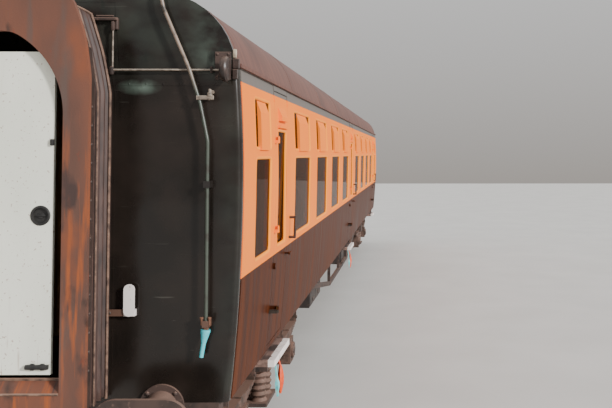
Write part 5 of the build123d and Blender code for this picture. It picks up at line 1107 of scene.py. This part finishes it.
rod = bar([(x, ROD_Y, ROD_Z) for x in (POST_X, 0.9, DRUM_X)], 0.0065, 12)
post = bar([(POST_X, ROD_Y, z) for z in (ROD_Z, 3.50, 3.650)], 0.0060, 12, (0, 1, 0))
alarm_rods = fitting("alarm_rods", [rod, post], ROD_PAINT)
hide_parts("alarm_gear")

plate_bolts = [(x, END_FACE - 0.012, z) for x in (1.214, 1.288) for z in (3.282, 3.434)]
brackets = [
    span((0.372, ROD_Y - 0.010, 3.660), (0.548, ROD_Y + 0.012, 3.680), 0.004),
    span((0.400, ROD_Y - 0.004, 3.684), (0.520, ROD_Y + 0.010, 3.696), 0.004),
    block((0.517, ROD_Y, 3.622), (0.024, 0.026, 0.064), 0.008, 2),
    block((0.512, ROD_Y, 3.322), (0.026, 0.030, 0.056), 0.008, 2),
    span((0.468, ROD_Y + 0.004, 3.308), (0.520, SUNK_Y, 3.332), 0.004),
    span((0.530, ROD_Y, 3.600), (0.546, SUNK_Y, 3.676), 0.004),
    span((1.172, ROD_Y - 0.012, ROD_Z - 0.020), (1.186, SUNK_Y, ROD_Z + 0.020), 0.003),
    span((1.196, END_FACE - 0.012, 3.262), (1.306, SUNK_Y, 3.452), 0.003),
    heads(plate_bolts, "y", 0.010, -0.007, 6),
]
fitting("alarm_brackets", brackets, FRAME_GRIME)

drum = turned((DRUM_X, DRUM_Y, ROD_Z), DRUM_PROFILE, "x", DRUM_SIDES)
drum_arm = span((DRUM_X - 0.012, DRUM_Y, ROD_Z - 0.022), (DRUM_X + 0.012, SUNK_Y, ROD_Z + 0.022))
fitting("alarm_drums", [drum, drum_arm], HARDWARE)

# %% [markdown]
# ## Gutter ends, rivets and seams
# A pale cap and a dark iron close each gutter at the corner. A seam crosses each end below the alarm rod,
# with a row of rivets.

# %% Close the gutters and rivet the end panels
gutter_ends = [
    block((1.338, -9.836, 3.372), (0.050, 0.016, 0.070), 0.006),
    block((1.334, -9.840, 3.300), (0.040, 0.022, 0.070), 0.006),
]
fitting("gutter_ends", gutter_ends, HARDWARE)
gutter_cap = block((1.330, -9.838, 3.440), (0.026, 0.018, 0.060), 0.005)
fitting("gutter_end_caps", [gutter_cap], CREAM_PAINT)

seam = span((0.472, END_FACE - 0.003, 3.222), (1.30, END_FACE + 0.001, 3.262), 0.001)
seam_xs = np.arange(0.62, 1.24, 0.115)
seam_rivets = [(side * x, END_FACE - 0.003, 3.235) for side in (-1, 1) for x in seam_xs]
fitting("end_seams", [both_sides(seam), heads(seam_rivets, "y", 0.008, -0.004)], END_ENAMEL)

# %% [markdown]
# ## Seats and tables
# Sprung cushions bulge between their seams. Each is a superellipsoid: the sines and cosines of a sphere
# raised to a small power, which gives a crowned box with soft edges. The bases below are plain timber.

# %% Upholster the seats
SEAT_X = (0.262, 1.243)
FLOOR_Z, TABLE_Z = 1.268, 1.988
BENCHES = [
    (half * (FIRST_BACK + SEAT_PITCH * step), half * way)
    for half in (-1, 1)
    for step in range(5)
    for way, used in ((-1, step > 0), (1, step < 4))
    if used
]


def cushion(low, high, power=0.35, around=48, up=20):
    """Crowned pad between two corners: half size · sign(cos)|cos|^power, and the same with sin."""
    low, high = np.asarray(low, float), np.asarray(high, float)
    turn = np.linspace(-np.pi, np.pi, around, endpoint=False)[None]
    tilt = np.linspace(-np.pi / 2, np.pi / 2, up)[:, None]

    def eased(value):
        return np.sign(value) * np.abs(value) ** power

    flat, rise = eased(np.cos(tilt)), np.broadcast_to(eased(np.sin(tilt)), (up, around))
    unit = np.stack([flat * eased(np.cos(turn)), flat * eased(np.sin(turn)), rise], axis=-1)
    return grid((low + high) / 2 + unit * (high - low) / 2, wrap_v=True)


def bench(back_y, facing):
    """Cushion and squab of one bench that faces along Y, with its leaning back."""
    low_x, high_x = SEAT_X
    low_y, high_y = sorted((back_y + facing * 0.125, back_y + facing * 0.635))
    seat = cushion((low_x, low_y, FLOOR_Z + 0.27), (high_x, high_y, FLOOR_Z + 0.445))
    low_y, high_y = sorted((back_y + facing * 0.012, back_y + facing * 0.135))
    squab, faces = cushion((low_x, low_y, FLOOR_Z + 0.40), (high_x, high_y, FLOOR_Z + 1.155))
    lean = facing * 0.075 * (FLOOR_Z + 0.78 - squab[:, 2]) / 0.76
    in_front = np.sign(facing) * (squab[:, 1] - back_y) > 0.06
    squab = squab + np.column_stack([0 * lean, np.where(in_front, lean, 0), 0 * lean])
    return [seat, (squab, faces)]


def bench_base(back_y, facing):
    """Timber base of one bench: a tray under the cushion and a plinth under the squab."""
    parts = []
    for reach, inset, low_z, high_z in ((0.60, 0.01, 0.22, 0.285), (0.12, 0.03, 0.0, 0.30)):
        low_y, high_y = sorted((back_y, back_y + facing * reach))
        low = (SEAT_X[0] + inset, low_y, FLOOR_Z + low_z)
        parts.append(span(low, (SEAT_X[1] - inset, high_y, FLOOR_Z + high_z), 0.006))
    return parts


cushions = joined([part for place in BENCHES for part in bench(*place)])
for side_name, sign in SIDES:
    pads = piece(
        f"seat_cushions_{side_name}", half_turned(cushions, sign), MOQUETTE, sharp=60.0
    )
    if side_name == "right":
        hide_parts("seats")
bases = [part for place in BENCHES for part in bench_base(*place)]
fitting("bench_bases", bases, LINING)

edgings = [
    span((low_x, y + low, TABLE_Z - 0.032), (high_x, y + high, TABLE_Z + 0.001), 0.002)
    for y in WINDOW_YS
    for low_x, high_x, low, high in (
        (0.396, 0.402, -0.352, 0.352),
        (0.400, 1.295, -0.354, -0.349),
        (0.400, 1.295, 0.349, 0.354),
    )
]
fitting("table_edgings", edgings, ALUMINIUM)

# %% [markdown]
# ## Under the floor
# Conduits run along the frame, a brake rod along each side of the middle, the boxes have doors with strap
# hinges, and the trusses have bolts and a foot plate at each post.

# %% Run the conduits and rods
CONDUITS = (
    # x, reach from the middle, height, radius
    (1.197, 9.60, 1.060, 0.014),
    (1.194, 9.60, 1.022, 0.010),
    (0.600, 5.20, 0.945, 0.012),
)
conduits = [bar([(x, y, z) for y in (-end, 0.0, end)], radius, 10) for x, end, z, radius in CONDUITS]
clips = [block((1.192, y, 1.042), (0.030, 0.030, 0.080), 0.004) for y in np.arange(-9.3, 9.4, 0.93)]
fitting("solebar_conduits", conduits + clips, FRAME_GRIME)

# %% Hang the box doors and bolt the trusses
BOX_DOORS = (
    # side of the coach, start, end, bottom, top
    (1, 0.95, 2.35, 0.575, 0.955),
    (1, -3.95, -2.65, 0.635, 0.955),
    (-1, -2.35, -0.95, 0.575, 0.955),
    (-1, 2.65, 3.95, 0.675, 0.955),
)
TRUSS_YS = (-1.65, 0.0, 1.65)


def box_door(side, start, end, bottom, top):
    """Two lids on a box's outer face, each with two strap hinges and a catch."""
    middle = (start + end) / 2
    parts = []
    for low, high in ((start + 0.04, middle - 0.02), (middle + 0.02, end - 0.04)):
        parts.append(span((1.083, low, bottom), (1.094, high, top), 0.004))
        for y in (low + 0.10, high - 0.10):
            parts.append(span((1.092, y - 0.022, top - 0.16), (1.099, y + 0.022, top + 0.01), 0.002))
        parts.append(block((1.098, (low + high) / 2, bottom + 0.05), (0.016, 0.09, 0.05), 0.005))
    vertices, faces = joined(parts)
    return vertices * (side, 1, 1), faces[:, ::side]


piece("box_doors", joined([box_door(*row) for row in BOX_DOORS]), BOX_PAINT)
truss_bolts = heads([(1.143, y, z) for y in TRUSS_YS for z in (0.590, 0.930)], "x", 0.022, 0.014, 6)
truss_feet = [block((1.120, y, 0.580), (0.060, 0.150, 0.030), 0.006) for y in TRUSS_YS]
fitting("truss_bolts", [truss_bolts, *truss_feet], FRAME_GRIME)

# %% [markdown]
# ## Steps, straps and hangers
# Four bolts hold each step board to its brackets. Beside the bogies hang a turquoise strap and an orange
# casting, which both show below the step in the photograph.

# %% Hang the strap and the casting below the steps
HANGING_YS, HANGER_SHIFT = (-7.85, 0.42), 0.16
STRAP_TOP, STRAP_FOOT, STRAP_BOSS = 1.02, 0.56, 0.66
HANGER_TOP, HANGER_FOOT, HANGER_X = 0.80, 0.54, 1.300


def strap_line(y):
    """Turquoise strap: a bar that hangs from the solebar, with a boss near its foot."""
    z = np.linspace(STRAP_TOP, STRAP_FOOT, 13)
    width = 0.012 + 0.030 * np.exp(-(((z - STRAP_BOSS) / 0.04) ** 2))
    x = 1.250 + 0.052 * np.sin((STRAP_TOP - z) / 0.46 * np.pi / 2)
    corners = ((-1, -1), (1, -1), (1, 1), (-1, 1))
    return swept([np.column_stack([x + a * (0.3 * width + 0.004), y + b * width, z]) for a, b in corners])


def orange_hanger(y):
    """Orange casting: a leaf-shaped plate whose half width is a sine bulge, hung from a short bar."""
    z = np.linspace(HANGER_TOP, HANGER_FOOT, 17)
    share = (HANGER_TOP - z) / 0.26
    width = 0.010 + 0.055 * np.sin(np.pi * share) ** 0.8 * (0.6 + 0.4 * share)
    thick = 0.010 + 0.020 * np.sin(np.pi * share)
    wave = 0.02 * np.sin(3 * share)
    body = swept(
        [
            np.column_stack([HANGER_X + thick * np.cos(angle), y + width * np.sin(angle) + wave, z])
            for angle in np.linspace(0, 2 * np.pi, 12, endpoint=False)
        ]
    )
    stem = bar([(1.205, y, 1.03), (1.265, y, 0.90), (HANGER_X, y, 0.79)], 0.009, 10, (0, 1, 0))
    return joined([body, stem])


fitting("turquoise_straps", [strap_line(y) for y in HANGING_YS], STRAP_BLUE)
fitting("orange_hangers", [orange_hanger(y + HANGER_SHIFT) for y in HANGING_YS], HANGER_ORANGE)
step_bolts = [(x, y + dy, 1.052) for y in DOOR_YS.values() for dy in (-0.28, 0.28) for x in (1.25, 1.33)]
fitting("step_bolts", [heads(step_bolts, "z", 0.012, 0.005)], HARDWARE)

# %% [markdown]
# ## Bogie detail
# Rivets hold the side plates to their angles, bolts ring the axlebox covers, and a tie bar closes each horn
# below its axlebox. They ride on the bogies.

# %% Rivet and bolt the bogies
SIDE_PLATE_X, COVER_X, COVER_BOLTS = 0.985, 1.146, 0.072
CAP_PROFILE = ((0.0, 0.0), (0.0, 0.045), (0.010, 0.040), (0.012, 0.0))


def bogie_detail():
    """Rivets along the side plate, cover bolts, horn ties and spring pins of one bogie, centred on y = 0."""
    top_ys = np.concatenate([np.arange(-1.80, -0.34, 0.12), np.arange(0.36, 1.82, 0.12)])
    parts = [heads([(SIDE_PLATE_X, y, 0.878) for y in top_ys], "x", 0.012, 0.007)]
    angle = np.linspace(0, 2 * np.pi, 6, endpoint=False)
    for axle_y in (-HALF_BASE, HALF_BASE):
        ring_y, ring_z = axle_y + COVER_BOLTS * np.cos(angle), AXLE_Z + COVER_BOLTS * np.sin(angle)
        ring = np.column_stack([np.full(6, COVER_X), ring_y, ring_z])
        parts.append(heads(ring, "x", 0.011, 0.008, 6))
        parts.append(turned((COVER_X, axle_y, AXLE_Z), CAP_PROFILE, "x"))
        parts.append(span((0.940, axle_y - 0.195, 0.352), (0.980, axle_y + 0.195, 0.384)))
        for end in (-1, 1):
            horn_y, pin_y = axle_y + end * 0.165, axle_y + end * 0.523
            horn_rivets = [(SIDE_PLATE_X, horn_y, z) for z in (0.45, 0.52, 0.59, 0.66)]
            parts.append(heads(horn_rivets, "x", 0.013, 0.008))
            parts.append(turned((1.088, pin_y, 0.760), stud(0.020, 0.016), "x", 16))
    return both_sides(joined(parts))


for place_name, sign in ENDS:
    vertices, faces = bogie_detail()
    piece(
        f"bogie_rivets_{place_name}",
        (vertices - (0, sign * BOGIE_Y, 0), faces),
        FRAME_GRIME,
        f"bogie_{place_name}",
    )

# %% [markdown]
# ## Buffers
# Four bolts hold each buffer to the headstock, and a collar closes its barrel.

# %% Bolt the buffers
BUFFER_X, BUFFER_Z, BOLT_RING = 0.864, 1.082, 0.130
BARREL_COLLAR = ((0.0, 0.0), (0.0, 0.100), (0.022, 0.104), (0.030, 0.100), (0.030, 0.0))

bolt_angle = np.linspace(0, 2 * np.pi, 4, endpoint=False) + np.pi / 4
bolt_x, bolt_z = BUFFER_X + BOLT_RING * np.cos(bolt_angle), BUFFER_Z + BOLT_RING * np.sin(bolt_angle)
buffer_bolts = heads(np.column_stack([bolt_x, np.full(4, END_FACE - 0.022), bolt_z]), "y", 0.016, -0.012, 6)
collar = turned((BUFFER_X, END_FACE - 0.262, BUFFER_Z), BARREL_COLLAR, "y", 32)
fitting("buffer_bolts", [both_sides(joined([buffer_bolts, collar]))], FRAME_GRIME)

# %% [markdown]
# ## The floor it stands on
# A plain pale floor, far larger than the view, is only the stage.

# %% Lay the stage floor
corner = FLOOR_HALF_SIZE
stage_points = np.array([[(x, y, 0.0) for x in (-corner, corner)] for y in (-corner, corner)])
stage_mesh = bpy.data.meshes.new("stage_floor")
stage_vertices, stage_faces = grid(stage_points)
stage_mesh.from_pydata(stage_vertices.tolist(), [], stage_faces[:, ::-1].tolist())
stage_mesh.materials.append(plain_finish("pale_studio_floor", "#C9C6C1", "#CFCCC7", 0.8, 0.8))
stage_floor = bpy.data.objects.new("stage_floor", stage_mesh)
bpy.context.scene.collection.objects.link(stage_floor)
